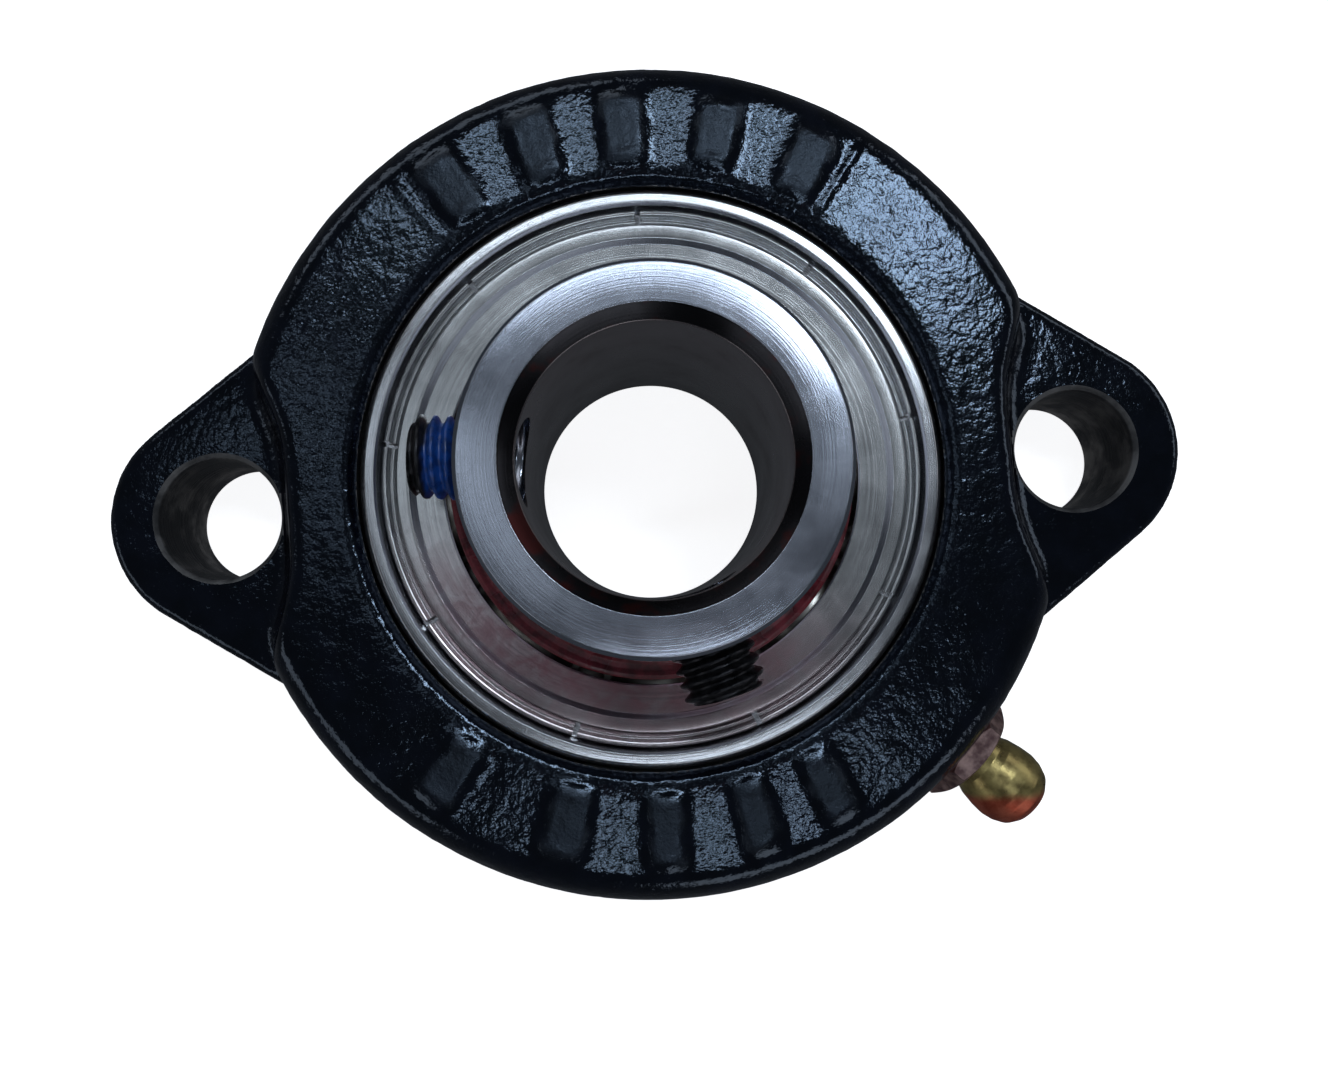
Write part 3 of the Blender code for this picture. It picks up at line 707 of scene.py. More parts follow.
# ================================================================== casting
def casting_points():
    """The rough casting as a field on a grid, then as quads."""
    step = 0.288
    ox, oy, oz = -46.2, -34.8, -1.2
    gx = np.arange(ox, 46.2 + step, step)
    gy = np.arange(oy, 34.8 + step, step)
    gz = np.arange(oz, 18.2 + step, step)
    X, Y = np.meshgrid(gx, gy, indexing="ij")
    R = np.hypot(X, Y)
    T = np.degrees(np.arctan2(Y, X)) % 360.0
    A = np.abs(X)

    # turned body: (r, z) outline, with a soft round shoulder
    run, rise = BODY_R - 0.14 - FACE_EDGE_R, FACE_Z - 11.2
    outline = [(-5.0, FACE_Z - 0.02)]
    for i in range(17):
        a = math.radians(90.0 * i / 16)
        outline.append((FACE_EDGE_R + run * math.sin(a), 11.2 + rise * math.cos(a) ** 0.88))
    outline += [(BODY_R - 0.07, 8.0), (BODY_R - 0.05, -4.0), (-5.0, -4.0)]
    rt = np.arange(0.0, 60.0, 0.12)
    RT, ZT = np.meshgrid(rt, gz, indexing="ij")
    table = outline_distance(outline, RT, ZT)

    # ears, in plan
    q = A - BOLT_X
    ay = np.abs(Y)
    beyond = q * math.cos(EAR_SLOPE) - ay * math.sin(EAR_SLOPE) > 0
    plan = np.where(beyond, np.hypot(q, Y), q * math.sin(EAR_SLOPE) + ay * math.cos(EAR_SLOPE)) - (EAR_R - 0.06)
    wide = A < 6.0
    plan = np.where(wide, np.maximum(plan, ay - 26.0), plan)

    # relief planes beside the bolt heads, opening out towards the body's sides
    lean = (30.2 - 27.9) / (FACE_Z - EAR_Z)
    flare = 0.35 * np.logaddexp(0.0, (ay - 5.5) / 0.9) * 0.9

    field = np.empty((len(gx), len(gy), len(gz)), np.float32)
    for k, z in enumerate(gz):
        body = np.interp(R.ravel(), rt, table[:, k]).reshape(R.shape)
        # inner edge of the face rolls down to the seat
        body = smax(body, 22.62 - R, 1.5)
        relief = np.maximum((30.2 + (EAR_Z - z) * lean + flare - A) / math.hypot(1, lean), 8.4 - z)
        body = smax(body, -relief, 0.9)
        # the ear top is slightly crowned and its rim is rounded
        crown = EAR_Z - 0.03 - 0.012 * np.maximum(plan + 6.0, 0.0) ** 1.6
        rr = 0.95
        dz = z - crown
        ear = (np.hypot(np.maximum(plan + rr, 0), np.maximum(dz + rr, 0))
               + np.minimum(np.maximum(plan + rr, dz + rr), 0) - rr)
        ear = np.maximum(ear, 22.62 - R)
        both = smin(body, ear, 1.35)
        if z > 15.0:
            for middle, width in PADS:
                d = (T - middle + 180.0) % 360.0 - 180.0
                near = np.abs(d) < width
                rr2 = R[near]
                u = np.radians(d[near]) * rr2
                hw = np.radians(width) / 2 * 26.6 + (rr2 - 27.25) * 0.03
                cu, cv = np.abs(u) - (hw - 0.75), np.abs(rr2 - 27.2) - (2.9 - 0.75)
                plan2 = (np.hypot(np.maximum(cu, 0), np.maximum(cv, 0))
                         + np.minimum(np.maximum(cu, cv), 0) - 0.75)
                rim = 0.13 * np.exp(-((plan2 + 0.85) / 0.34) ** 2)
                top = z - (FACE_Z + 0.36 + rim - 0.36 * np.abs(u / hw) ** 1.8 - 0.05 * ((rr2 - 27.2) / 2.9) ** 2)
                pad = smax(plan2, top, 0.35)
                both[near] = smin(both[near], pad, 0.30)
        field[:, :, k] = np.maximum(both, -0.7 - z)      # closed below, to be faced off at 0
    return surface(field, (ox, oy, oz), step)


def make_casting():
    pts, quads = casting_points()
    normal = vertex_normals(pts, quads)
    x, y, z = pts.T
    r = np.hypot(x, y)
    th = np.degrees(np.arctan2(y, x)) % 360.0
    # sand texture under thick paint: hollows, lumps and grains
    swell = noise(pts, 7.0, 3) * 0.055 + noise(pts, 3.1, 4) * 0.045
    lumps = noise(pts, 1.35, 5)
    grains = noise(pts, 0.78, 6)
    pits = np.clip(noise(pts, 1.05, 7) - 0.30, 0, 1)
    flat = normal[:, 2] > 0.85
    on_pad = np.zeros(len(pts))
    for middle, width in PADS:
        d = np.abs((th - middle + 180.0) % 360.0 - 180.0)
        on_pad = np.maximum(on_pad, (d < width * 0.62) & (r > 24.0) & (r < 30.6) & (z > 16.3))
    strength = np.where(flat, 0.85, 1.0) * (1.0 + 0.35 * on_pad)
    rough_zone = np.clip(noise(pts, 9.0, 8) * 0.8 + 0.9, 0.45, 1.35)
    height = swell * 0.5 + strength * rough_zone * (lumps * 0.020 + grains * 0.026 - pits * 0.05)
    # a thin raised line beside the last pad, and a fine witness line at the waist
    for at, lo, hi in ((53.2, 24.4, 30.4), (126.8, 24.6, 30.2)):
        u = np.radians((th - at + 180.0) % 360.0 - 180.0) * r
        height += 0.14 * np.exp(-(u / 0.22) ** 2) * ((r > lo) & (r < hi) & (z > 14.0))
    height += 0.06 * np.exp(-((z - 4.6) / 0.25) ** 2) * (np.abs(normal[:, 2]) < 0.5)
    pts = pts + normal * height[:, None]
    pts[:, 0] = np.clip(pts[:, 0], -44.995, 44.995)
    pts[:, 1] = np.clip(pts[:, 1], -33.495, 33.495)
    mesh = fast_mesh("casting", pts, quads)
    ob = make("housing_casting", mesh)

    # machined features
    solver = "MANIFOLD"
    base = make("c0", prism("c0", [(-60, -50), (60, -50), (60, 50), (-60, 50)], -6.0, 0.0))

    def on_sphere(h):
        return math.sqrt(SEAT_R ** 2 - (h - C) ** 2)
    seat = [(0.0, 18.6)]
    for i in range(41):
        h = 18.6 + (0.5 - 18.6) * i / 40
        seat.append((on_sphere(h), h))
    seat += [(on_sphere(0.5) + 1.5, -1.0), (0.0, -1.0)]
    bore = make("c1", lathe("c1", seat, 220, closed=False))
    # loading slots: the ring passes through them edgewise
    pocket = [(SEAT_R - 0.15) * math.cos(0)]
    slots = []
    for side in (1, -1):
        corners = []
        rr = SEAT_R - 0.15
        half = math.degrees(math.asin(7.3 / rr))
        for i in range(25):
            corners.append(about_z(rr, side * 90.0 - half + 2 * half * i / 24))
        corners += [(corners[-1][0], side * 15.0), (corners[0][0], side * 15.0)]
        slots.append(make("c2", prism("c2", corners, -1.0, C - 0.8)))
    holes = []
    for side in (1, -1):
        prof = fillet([(0.0, 13.0), (BOLT_R + 0.45, 13.0), (BOLT_R + 0.45, EAR_Z), (BOLT_R, EAR_Z - 0.5),
                       (BOLT_R, -1.0), (0.0, -1.0)], [0, 0, 0.12, 0.3, 0, 0], 4)
        c = make("c3", lathe("c3", prof, 112, closed=False))
        c.location.x = side * BOLT_X * MM
        holes.append(c)
    place = radial_frame(NIPPLE, C)
    drill = make("c4", lathe("c4", [(0, 36.0), (3.15, 36.0), (3.15, 20.0), (0, 20.0)], 64, closed=False))
    spot = make("c5", lathe("c5", [(0, 38.0), (5.8, 38.0), (5.8, 33.0), (0, 33.0)], 96, closed=False))
    drill.matrix_world = place
    spot.matrix_world = place
    cut(ob, [base, bore] + slots + holes + [spot, drill], solver)

    # which faces are painted and which are machined
    me = ob.data
    n = len(me.polygons)
    centre = np.empty(n * 3)
    fn = np.empty(n * 3)
    me.polygons.foreach_get("center", centre)
    me.polygons.foreach_get("normal", fn)
    centre = centre.reshape(-1, 3) / MM
    fn = fn.reshape(-1, 3)
    slot = np.zeros(n, np.int32)
    # a face belongs to a machined surface if its middle is on it
    ring = np.abs(np.linalg.norm(centre - (0, 0, C), axis=1) - SEAT_R)
    rc = np.hypot(centre[:, 0], centre[:, 1])
    slot[(ring < 0.03) & (centre[:, 2] > 0.4)] = 1
    slot[(np.abs(centre[:, 2]) < 0.01) & (fn[:, 2] < -0.99)] = 1
    slot[(rc < SEAT_R + 1.6) & (centre[:, 2] < 0.6)] = 1
    slot[(np.abs(rc - (SEAT_R - 0.15)) < 0.06) & (np.abs(centre[:, 0]) < 7.35) & (centre[:, 2] < 8.25)] = 1
    slot[(np.abs(np.abs(centre[:, 0]) - 7.3) < 0.03) & (rc < SEAT_R) & (centre[:, 2] < 8.25)] = 1
    slot[(np.abs(centre[:, 2] - (C - 0.8)) < 0.02) & (rc < SEAT_R)] = 1
    slot[(rc < 22.4) & (centre[:, 2] < 16.0)] = 1
    hole = np.hypot(np.abs(centre[:, 0]) - BOLT_X, centre[:, 1])
    slot[(hole < BOLT_R + 0.56) & (fn[:, 2] < 0.88) & (centre[:, 2] < 10.4)] = 2
    local = np.array(place.inverted())
    lc = centre @ local[:3, :3].T + local[:3, 3] / MM
    lr = np.hypot(lc[:, 0], lc[:, 1])
    slot[(np.abs(lc[:, 2] - 33.0) < 0.02) & (lr < 5.85)] = 3
    slot[(lr < 5.83) & (lr > 5.75) & (lc[:, 2] > 32.95)] = 3
    slot[(lr < 3.2) & (lc[:, 2] > 22.0)] = 1
    me.materials.clear()
    for m in (ENAMEL, IRON, BOLT_IRON, PRIMER):
        me.materials.append(m)
    me.polygons.foreach_set("material_index", slot)
    # raised pads and their flanks took a drier coat
    nv = len(me.vertices)
    co = np.empty(nv * 3)
    me.vertices.foreach_get("co", co)
    co = co.reshape(-1, 3) / MM
    vr, vt = np.hypot(co[:, 0], co[:, 1]), np.degrees(np.arctan2(co[:, 1], co[:, 0])) % 360.0
    matt = np.zeros(nv)
    ragged = noise(co, 1.6, 11)
    for middle, width in PADS:
        d = np.abs((vt - middle + 180.0) % 360.0 - 180.0)
        on = (np.clip((width * 0.42 - d + ragged * 1.5) / 1.5, 0, 1)
              * np.clip((vr - 24.4 + ragged * 0.6) / 0.7, 0, 1) * np.clip((30.0 - vr + ragged * 0.6) / 0.7, 0, 1))
        matt = np.maximum(matt, on * (co[:, 2] > 16.2))
    attr = me.attributes.new("matt", "FLOAT", "POINT")
    attr.data.foreach_set("value", matt.astype(np.float32))
    # crease only where machined surfaces begin or turn
    me.shade_smooth()
    bm = bmesh.new()
    bm.from_mesh(me)
    for e in bm.edges:
        if len(e.link_faces) == 2:
            a, b = e.link_faces
            if a.material_index != b.material_index or (
                    a.material_index and e.calc_face_angle(0.0) > math.radians(28)):
                e.smooth = False
    bm.to_mesh(me)
    bm.free()
    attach(ob, "housing")
    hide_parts("housing")
    return ob


# =================================================================== insert
def make_outer_ring():
    half = 7.0
    R0 = 23.5

    def on_sphere(h):
        return math.sqrt(R0 ** 2 - (h - C) ** 2)
    top, low = C + half - 0.35, C - half + 0.35
    g0, g1 = C + 1.8, C + 3.4
    prof = [(on_sphere(top) - 0.35, C + half)]
    rad = [0.18]
    for i in range(15):
        h = top + (g1 - top) * i / 14
        prof.append((on_sphere(h), h))
        rad.append(0.18 if i == 0 else 0.1 if i == 14 else 0)
    prof += [(on_sphere(g1) - 0.5, g1 - 0.2), (on_sphere(g0) - 0.5, g0 + 0.2)]
    rad += [0.2, 0.2]
    for i in range(31):
        h = g0 + (low - g0) * i / 30
        prof.append((on_sphere(h), h))
        rad.append(0.1 if i == 0 else 0.18 if i == 30 else 0)
    prof.append((on_sphere(low) - 0.35, C - half))
    rad.append(0.18)
    reach = math.degrees(math.acos((19.35 - PITCH_R) / 4.2))
    inner = [(21.48, C - half), (21.28, C - half + 0.2), (21.28, C - 4.9), (19.35, C - 4.9)]
    rad += [0.08, 0.08, 0.15, 0.15]
    track = arc(PITCH_R, C, 4.2, -reach, reach, 24)
    inner += track
    rad += [0.05] + [0] * (len(track) - 2) + [0.05]
    inner += [(19.35, C + 4.9), (21.28, C + 4.9), (21.28, C + half - 0.2), (21.48, C + half)]
    rad += [0.15, 0.15, 0.08, 0.08]
    prof = fillet(prof + inner, rad, 3)
    ob = make("outer_ring_body", lathe("outer_ring_body", prof, 288))
    holes = []
    for degrees in (-45.0, 135.0):
        c = make("g", lathe("g", [(0, 3.6), (0.55, 3.6), (0.55, -3.0), (0, -3.0)], 24, closed=False))
        c.matrix_world = (radial_frame(degrees, 12.25) @ Matrix.Translation((0, 0, 21.3 * MM))
                          @ Matrix.Rotation(math.radians(21.0), 4, "X"))
        holes.append(c)
    cut(ob, holes)
    ob.data.materials.clear()
    ob.data.materials.append(RING)
    smooth(ob.data, 26)
    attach(ob, "insert")
    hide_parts("outer_ring")


def make_shields():
    # rolled rim, valley, land, step and inner land; heights from the ball plane
    prof = [(20.76, 6.80), (20.98, 6.60), (20.98, 5.20), (20.52, 5.20), (20.50, 5.62), (20.05, 5.66),
            (19.70, 5.95), (19.05, 5.95), (18.65, 5.55), (16.20, 5.55), (16.20, 5.86), (16.34, 5.96),
            (18.48, 5.97), (18.86, 6.36), (19.86, 6.42), (20.16, 6.02), (20.42, 6.06), (20.52, 6.74)]
    rad = [0.10, 0.16, 0.10, 0.10, 0.10, 0.15, 0.2, 0.25, 0.25, 0.10, 0.06, 0.06, 0.12, 0.14, 0.16, 0.10,
           0.08, 0.08]
    for side, where in ((1, "front"), (-1, "rear")):
        outline = fillet([(r, C + side * h) for r, h in prof], rad, 4)
        ob = make(where + "_shield_pressing", lathe(where + "_shield_pressing", outline, 360))
        if side > 0:
            cuts = []
            for i in range(9):
                # each notch is a narrow slot with round ends, cut through the rolled rim
                corners = []
                w, l = 0.22, 0.46
                for k in range(7):
                    a = math.pi * k / 6
                    corners.append((w * math.cos(a), l + w * math.sin(a) * 0.6))
                for k in range(7):
                    a = math.pi + math.pi * k / 6
                    corners.append((w * math.cos(a), -l + w * math.sin(a) * 0.6))
                c = make("n", prism("n", corners, 4.9, 8.0))
                a = 8.5 + 40.0 * i
                x, y = about_z(20.46, a)
                c.matrix_world = (Matrix.Translation((x * MM, y * MM, C * MM))
                                  @ Matrix.Rotation(math.radians(a - 90), 4, "Z"))
                cuts.append(c)
            cut(ob, cuts)
        ob.data.materials.clear()
        ob.data.materials.append(SHIELD)
        smooth(ob.data, 32)
        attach(ob, "insert")
        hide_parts(where + "_seal_shield")
        # rubber lip: bead at the shield, thin waist, turned-up sealing edge
        lip = [(15.82, 5.98), (15.82, 5.28), (15.30, 5.22), (14.75, 5.30), (14.20, 5.46), (13.88, 5.72),
               (13.86, 6.18), (14.06, 6.26), (14.30, 5.98), (14.66, 5.76), (15.10, 5.80), (15.46, 6.02)]
        lrad = [0.12, 0.12, 0.3, 0.3, 0.25, 0.12, 0.06, 0.08, 0.2, 0.3, 0.3, 0.15]
        outline = fillet([(r, C + side * h) for r, h in lip], lrad, 4)
        soft = make(where + "_lip_moulding", lathe(where + "_lip_moulding", outline, 240), [RUBBER])
        smooth(soft.data, 40)
        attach(soft, "insert")
        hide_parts(where + "_seal_lip")


def make_inner_ring():
    reach = math.degrees(math.acos((PITCH_R - 13.6) / 4.2))
    track = arc(PITCH_R, C, 4.2, 180.0 - reach, 180.0 + reach, 24)
    prof = [(13.6 - 0.30, 27.0), (13.6, 27.0 - 0.30), (13.6, 18.2)] + track
    rad = [0.10, 0.10, 0] + [0.06] + [0] * (len(track) - 2) + [0.06]
    prof += [(13.6, 2.30), (13.30, 2.0), (9.525 + 0.9, 2.0), (9.525, 2.9),
             (9.525, 27.0 - 1.08), (9.525 + 1.08, 27.0)]
    rad += [0.1, 0.1, 0.12, 0.12, 0.10, 0.07]
    ob = make("inner_ring_body", lathe("inner_ring_body", fillet(prof, rad, 4), 288))
    holes, mouths = [], []
    for i, degrees in enumerate(SCREWS.values()):
        c = make("h%d" % i, threaded("h%d" % i, 5.0, 16.0, 3.32, 3.10, 1.0, per_turn=64, axial=0.085,
                                     lead_low=0.0, lead_high=0.0, crest=0.12))
        c.matrix_world = radial_frame(degrees, 22.0)
        mouth = make("m%d" % i, lathe("m%d" % i, [(0, 15.5), (5.0, 15.5), (3.1, 13.22), (3.1, 12.9), (0, 12.9)],
                                      64, closed=False))
        mouth.matrix_world = radial_frame(degrees, 22.0)
        holes.append(c)
        mouths.append(mouth)
    # one after the other: cutters that overlap leave walls behind
    cut(ob, holes)
    cut(ob, mouths)
    ob.data.materials.clear()
    ob.data.materials.append(GROUND)
    ob.data.materials.append(BORE)
    # the bore and the lead-in chamfer take the bore material, with its painted shade and painted dark reflection
    for p in ob.data.polygons:
        r = math.hypot(p.center.x, p.center.y) / MM
        if r < 9.60 or (r < 10.58 and p.center.z / MM > 25.92 and p.normal.z < 0.93):
            p.material_index = 1
    smooth(ob.data, 24)
    bm = bmesh.new()
    bm.from_mesh(ob.data)
    outside = []
    for f in bm.faces:
        c = f.calc_center_median() / MM
        r = math.hypot(c.x, c.y)
        outside.append(abs(r - 13.6) < 0.03 and (f.normal.x * c.x + f.normal.y * c.y) / r > 0.995)
    for e in bm.edges:
        if len(e.link_faces) == 2 and 18.4 < e.verts[0].co.z / MM < 26.5:
            a, b = e.link_faces
            if outside[a.index] != outside[b.index]:
                e.smooth = False
    bm.to_mesh(ob.data)
    bm.free()
    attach(ob, "inner_ring")
    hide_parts("inner_ring")


def quad_sphere(name, radius, cells):
    """Sphere from a subdivided cube, so that it has no poles."""
    bm = bmesh.new()
    bmesh.ops.create_cube(bm, size=2.0)
    bmesh.ops.subdivide_edges(bm, edges=bm.edges, cuts=cells - 1, use_grid_fill=True)
    for v in bm.verts:
        t = Vector([math.tan(c * math.pi / 4) for c in v.co])
        v.co = t.normalized() * radius * MM
    mesh = bpy.data.meshes.new(name)
    bm.to_mesh(mesh)
    bm.free()
    mesh.shade_smooth()
    return mesh


def make_balls():
    mesh = quad_sphere("bearing_ball", BALL_R, 14)
    mesh.materials.append(BALL)
    for i in range(BALLS):
        ob = make("ball_%d_finished" % (i + 1), mesh.copy())
        x, y = about_z(PITCH_R, 45.0 * i)
        ob.data.transform(Matrix.Translation((x * MM, y * MM, C * MM)))
        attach(ob, "ball_%d" % (i + 1))
        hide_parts("ball_%d" % (i + 1))


def make_cage():
    steps, across = 1152, 8
    mid = 4.25 + 0.35
    for side, name in ((1, "cage_front"), (-1, "cage_rear")):
        phi = 2 * np.pi * np.arange(steps) / steps
        rr = np.linspace(15.42, 18.08, across + 1)
        P, Q = np.meshgrid(phi, rr, indexing="ij")
        near = np.round(P / (np.pi / 4)) * (np.pi / 4)
        dx = Q * np.cos(P) - PITCH_R * np.cos(near)
        dy = Q * np.sin(P) - PITCH_R * np.sin(near)
        crown = np.sqrt(np.clip(mid ** 2 - dx ** 2 - dy ** 2, 0, None))
        height = np.maximum(smax(crown, np.full_like(crown, 0.50), 0.25), 0.50)
        pts = np.stack([Q * np.cos(P), Q * np.sin(P), C + side * height], -1).reshape(-1, 3)
        a = np.arange(steps)
        b = (a + 1) % steps
        faces = []
        w = across + 1
        for k in range(across):
            f = np.stack([a * w + k, b * w + k, b * w + k + 1, a * w + k + 1], 1)
            faces.append(f if side > 0 else f[:, ::-1])
        mesh = fast_mesh(name + "_ribbon", pts, np.concatenate(faces))
        ob = make(name + "_ribbon", mesh)
        thick = ob.modifiers.new("sheet", "SOLIDIFY")
        thick.thickness = 0.66 * MM
        thick.offset = 0.0
        thick.use_even_offset = False
        bake_modifiers(ob)
        # rivet holes at the flats
        pins = []
        for i in range(BALLS):
            x, y = about_z(PITCH_R, 45.0 * (i + 0.5))
            c = make("p", lathe("p", [(0, 1.4), (0.72, 1.4), (0.72, -1.4), (0, -1.4)], 24, closed=False))
            c.location = (x * MM, y * MM, C * MM)
            pins.append(c)
        cut(ob, pins)
        ob.data.materials.clear()
        ob.data.materials.append(CAGE)
        smooth(ob.data, 40)
        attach(ob, "cage")
        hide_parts(name)
    head, shank = 1.17, 0.6
    dome = []
    for i in range(7):
        a = math.radians(90.0 * i / 6)
        dome.append((1.15 * math.sin(a), head + 0.58 * math.cos(a)))
    prof = dome + [(1.10, head - 0.03), (shank, head - 0.03), (shank, -head + 0.03), (1.10, -head + 0.03)]
    prof += [(r, -z) for r, z in dome[::-1]]
    base = lathe("rivet", prof, 32, closed=False)
    smooth(base, 40)
    base.materials.append(CAGE)
    for i in range(BALLS):
        ob = make("rivet_%d_headed" % (i + 1), base.copy())
        x, y = about_z(PITCH_R, 45.0 * (i + 0.5))
        ob.data.transform(Matrix.Translation((x * MM, y * MM, C * MM)))
        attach(ob, "cage")
        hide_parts("cage_rivet_%d" % (i + 1))


def make_set_screws():
    for name, degrees in SCREWS.items():
        # cup point inwards, hexagon socket outwards
        mesh = threaded(name + "_threaded", -3.0, 3.0, 3.0, 2.46, 1.0, per_turn=72, axial=0.075,
                        lead_low=0.75, lead_high=0.42, crest=0.16, cap_low=-3.0)
        ob = make(name + "_threaded", mesh)
        socket = prism("s", hexagon(3.0), 0.2, 3.6)
        socket_ob = make("s", socket)
        cone = make("t", lathe("t", [(0, 3.5), (2.25, 3.5), (1.45, 2.72), (0, 2.72)], 48, closed=False))
        point = make("u", lathe("u", [(0, -2.3), (1.65, -3.02), (1.9, -3.4), (0, -3.4)], 48, closed=False))
        cut(ob, [socket_ob])
        cut(ob, [cone, point])
        ob.data.transform(radial_frame(degrees, 22.0) @ Matrix.Translation((0, 0, 14.1 * MM)))
        ob.data.materials.clear()
        ob.data.materials.append(OXIDE_BLUE if name == "set_screw_a" else OXIDE)
        smooth(ob.data, 38)
        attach(ob, name)
        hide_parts(name)


def make_nipple():
    place = radial_frame(NIPPLE, C)
    # threaded stem
    stem = make("nipple_turned", threaded("nipple_turned", 27.0, 33.9, 2.85, 2.38, 1.0, per_turn=64, axial=0.09,
                                          lead_low=0.6, lead_high=0.0, crest=0.16))
    head = fillet([(0.0, 41.25), (1.92, 41.25), (2.66, 40.62), (3.06, 39.70), (3.20, 38.80), (3.12, 37.8),
                   (2.90, 36.6), (2.62, 35.9), (2.62, 35.3), (2.86, 34.8), (2.86, 33.6), (0.0, 33.6)],
                  [0, 0.30, 0.8, 1.0, 1.2, 1.2, 0.6, 0.3, 0.25, 0.1, 0, 0], 5)
    head = make("hd", lathe("hd", head, 96, closed=False))
    nut = make("nut", prism("nut", hexagon(8.0, 0.0), 33.3, 34.92))
    # turned chamfers on the hexagon
    lens = make("lens", lathe("lens", fillet(
        [(0, 34.93), (3.90, 34.93), (4.72, 34.45), (4.72, 33.60), (4.30, 33.29), (0, 33.29)],
        [0, 0.1, 0, 0, 0.05, 0], 3), 96, closed=False))
    cut(nut, [lens], operation="INTERSECT")
    cut(stem, [nut], operation="UNION")
    cut(stem, [head], operation="UNION")
    passage = make("ps", lathe("ps", [
        (0.0, 42.5), (0.95, 42.5), (0.62, 41.0), (0.62, 40.75), (1.27, 39.9), (1.27, 36.0), (0.7, 36.0),
        (0.7, 26.0), (0.0, 26.0)], 40, closed=False))
    cut(stem, [passage])
    stem.data.transform(place)
    stem.data.materials.clear()
    stem.data.materials.append(BRASS)
    smooth(stem.data, 30)
    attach(stem, "housing")
    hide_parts("grease_nipple_body")

    check = make("check_ball_finished", quad_sphere("check_ball_finished", 0.95, 10))
    check.data.materials.append(BALL)
    check.data.transform(place @ Matrix.Translation((0, 0, 39.4 * MM)))
    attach(check, "nipple_check_ball")
    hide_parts("nipple_check_ball")

    # spring: closed end coils and open ones between
    curve = bpy.data.curves.new("check_spring_coil", "CURVE")
    curve.dimensions = "3D"
    curve.bevel_depth = 0.13 * MM
    curve.bevel_resolution = 3
    curve.use_fill_caps = True
    per, turns, low, high = 28, 4.0, 36.20, 38.20
    count = int(per * turns) + 1
    spline = curve.splines.new("POLY")
    spline.points.add(count - 1)
    for i in range(count):
        t = i / (count - 1)
        s = t * turns
        rise = min(max((s - 0.6) / (turns - 1.2), 0), 1) * (high - low - 0.26) + 0.13 * min(s / 0.6, 1) + 0.13 * max(0, (s - turns + 0.6) / 0.6)
        a = 2 * math.pi * s
        spline.points[i].co = (0.78 * math.cos(a) * MM, 0.78 * math.sin(a) * MM, rise * MM, 1.0)
    guide = bpy.data.objects.new("check_spring_guide", curve)
    bpy.context.scene.collection.objects.link(guide)
    bpy.context.view_layer.update()
    mesh = bpy.data.meshes.new_from_object(guide.evaluated_get(bpy.context.evaluated_depsgraph_get()))
    bpy.data.objects.remove(guide, do_unlink=True)
    bm = bmesh.new()
    bm.from_mesh(mesh)
    bmesh.ops.remove_doubles(bm, verts=bm.verts, dist=1e-7)
    bmesh.ops.recalc_face_normals(bm, faces=bm.faces)
    bm.to_mesh(mesh)
    bm.free()
    spring = make("check_spring_coil", mesh)
    spring.data.materials.clear()
    spring.data.materials.append(WIRE)
    spring.data.transform(place @ Matrix.Translation((0, 0, low * MM)))
    smooth(spring.data, 60)
    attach(spring, "housing")
    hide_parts("nipple_spring")
    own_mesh(spring)


make_casting()
make_outer_ring()
make_shields()
make_inner_ring()
make_balls()
make_cage()
make_set_screws()
make_nipple()

# ==================================================================== stage
floor_mesh = bpy.data.meshes.new("floor")
bm = bmesh.new()
bmesh.ops.create_grid(bm, x_segments=24, y_segments=24, size=1.6)
bm.to_mesh(floor_mesh)
bm.free()
floor = make("floor", floor_mesh, [floor_finish()])
floor.location.z = -0.0002
floor.visible_glossy = False
wall_mesh = bpy.data.meshes.new("backdrop")
bm = bmesh.new()
bmesh.ops.create_cone(bm, cap_ends=False, segments=96, radius1=1.58, radius2=1.58, depth=1.9)
bm.to_mesh(wall_mesh)
bm.free()
wall_mesh.shade_smooth()
wall = make("backdrop", wall_mesh, [floor.data.materials[0]])
wall.location.z = 0.9495
wall.visible_glossy = wall.visible_diffuse = wall.visible_shadow = False

scene = bpy.context.scene
scene.view_settings.view_transform = "Standard"
world = scene.world or bpy.data.worlds.new("world")
scene.world = world
world.use_nodes = True
back = world.node_tree.nodes.get("Background") or world.node_tree.nodes.new("ShaderNodeBackground")
back.inputs["Color"].default_value = (0.80, 0.88, 1.0, 1.0)
back.inputs["Strength"].default_value = 0.065


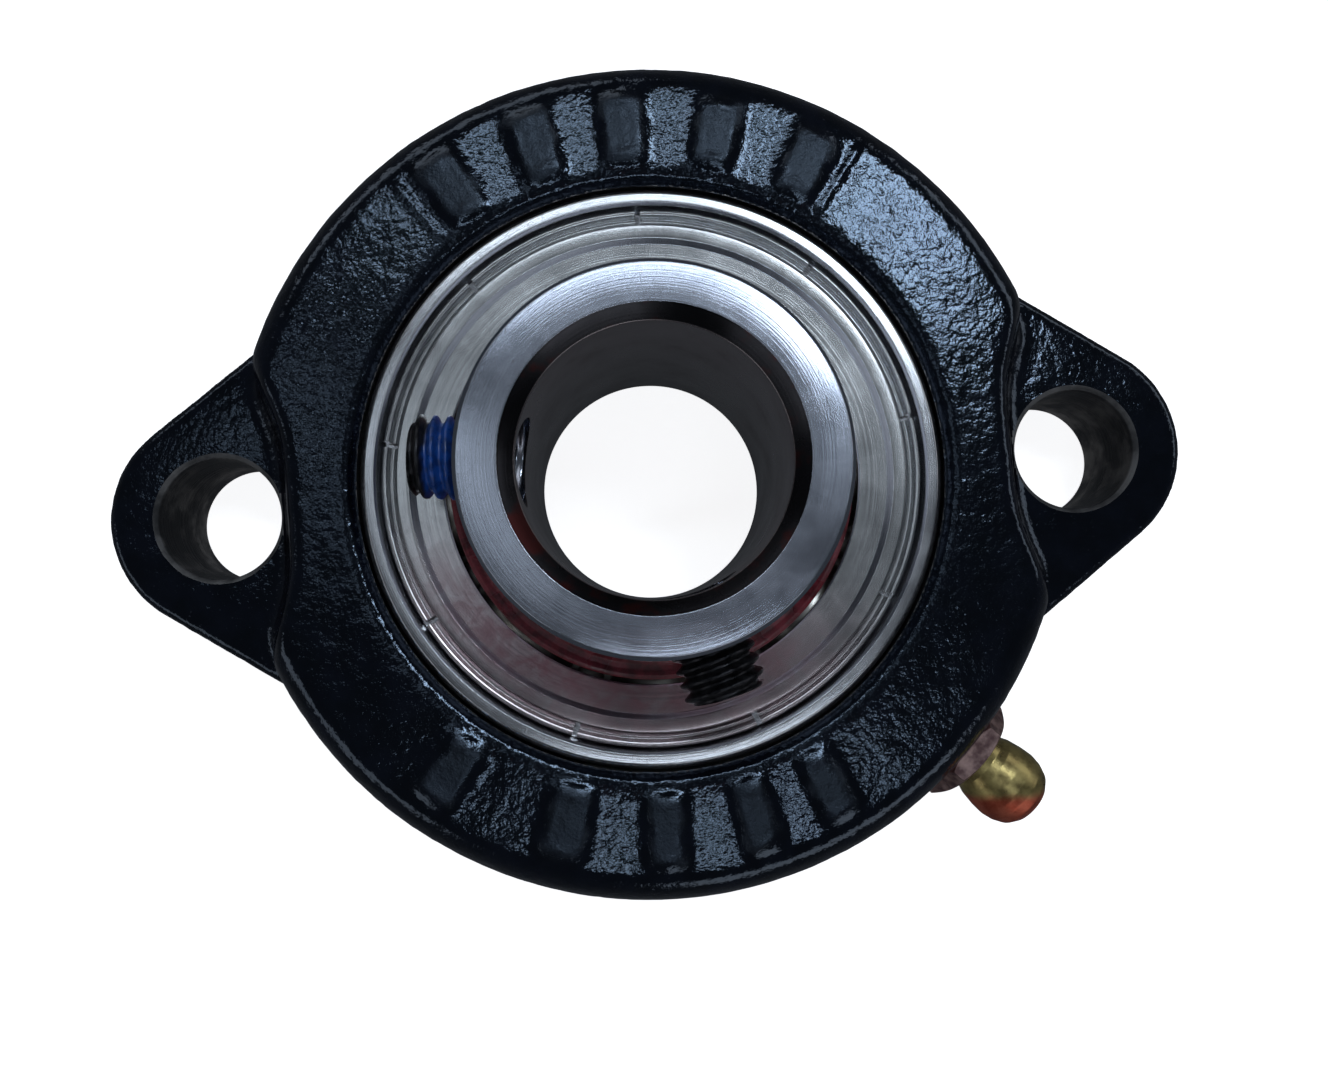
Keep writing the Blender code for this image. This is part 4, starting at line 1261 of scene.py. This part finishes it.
def softbox(name, at, size_x, size_y, turn, radiance, colour, distance=0.60):
    """Area light on the plane `distance` above the floor, at (x, y) times that distance, aimed at
    the part. Its power follows from the radiance wanted."""
    d = Vector((at[0], at[1], 1.0))
    data = bpy.data.lights.new(name, "AREA")
    data.shape = "RECTANGLE"
    data.size, data.size_y = size_x, size_y
    data.color = colour
    data.energy = radiance * math.pi * size_x * size_y
    ob = bpy.data.objects.new(name, data)
    ob.location = d * distance
    ob.rotation_mode = "QUATERNION"
    ob.rotation_quaternion = (d.normalized().to_track_quat("Z", "Y")
                              @ Matrix.Rotation(math.radians(turn), 4, "Z").to_quaternion())
    scene.collection.objects.link(ob)
    return ob


DAY = (0.80, 0.90, 1.0)
softbox("key", (0.318, 0.378), 0.138, 0.100, -46.0, 17.0, DAY)
softbox("top", (-0.02, 0.475), 0.30, 0.045, 0.0, 9.5, DAY)
softbox("lower", (0.05, -0.28), 0.22, 0.035, 0.0, 8.0, DAY)
softbox("left", (-0.390, 0.20), 0.040, 0.10, 0.0, 2.4, DAY)
# weak panels over the middle, seen only by the steel faces
softbox("ring_left", (-0.155, 0.095), 0.070, 0.125, 12.0, 1.05, DAY)
softbox("ring_top", (-0.02, 0.300), 0.140, 0.035, 0.0, 0.65, DAY)
softbox("ring_right", (0.250, 0.110), 0.026, 0.075, 0.0, 0.90, DAY)
# large low panels all round, for the sides
for i, (azimuth, radiance) in enumerate(((25.0, 1.30), (115.0, 1.10), (205.0, 1.00), (295.0, 1.30))):
    a = math.radians(azimuth)
    reach = 1.0 / math.tan(math.radians(24.0))
    side = softbox("side_%d" % i, (reach * math.cos(a), reach * math.sin(a)), 0.90, 0.36, 0.0, radiance,
                   (0.93, 0.96, 1.0), 0.42)
    side.visible_camera = False
softbox("warm", (0.03, -0.13), 0.08, 0.03, 0.0, 0.18, (1.0, 0.36, 0.34))

cam_data = bpy.data.cameras.new("camera")
cam = bpy.data.objects.new("camera", cam_data)
scene.collection.objects.link(cam)
cam_data.sensor_fit = "HORIZONTAL"
cam_data.sensor_width = 36.0
cam_data.lens = 28.30
cam_data.clip_start, cam_data.clip_end = 0.002, 20.0
right = Vector((0.9962, -0.0840, 0.0236)).normalized()
up = Vector((0.0829, 0.9956, 0.0426))
up = (up - right * up.dot(right)).normalized()
depth = right.cross(up)
cam.matrix_world = Matrix((
    (right.x, up.x, depth.x, -1.76 * MM),
    (right.y, up.y, depth.y, -8.70 * MM),
    (right.z, up.z, depth.z, 96.43 * MM),
    (0.0, 0.0, 0.0, 1.0)))
scene.camera = cam
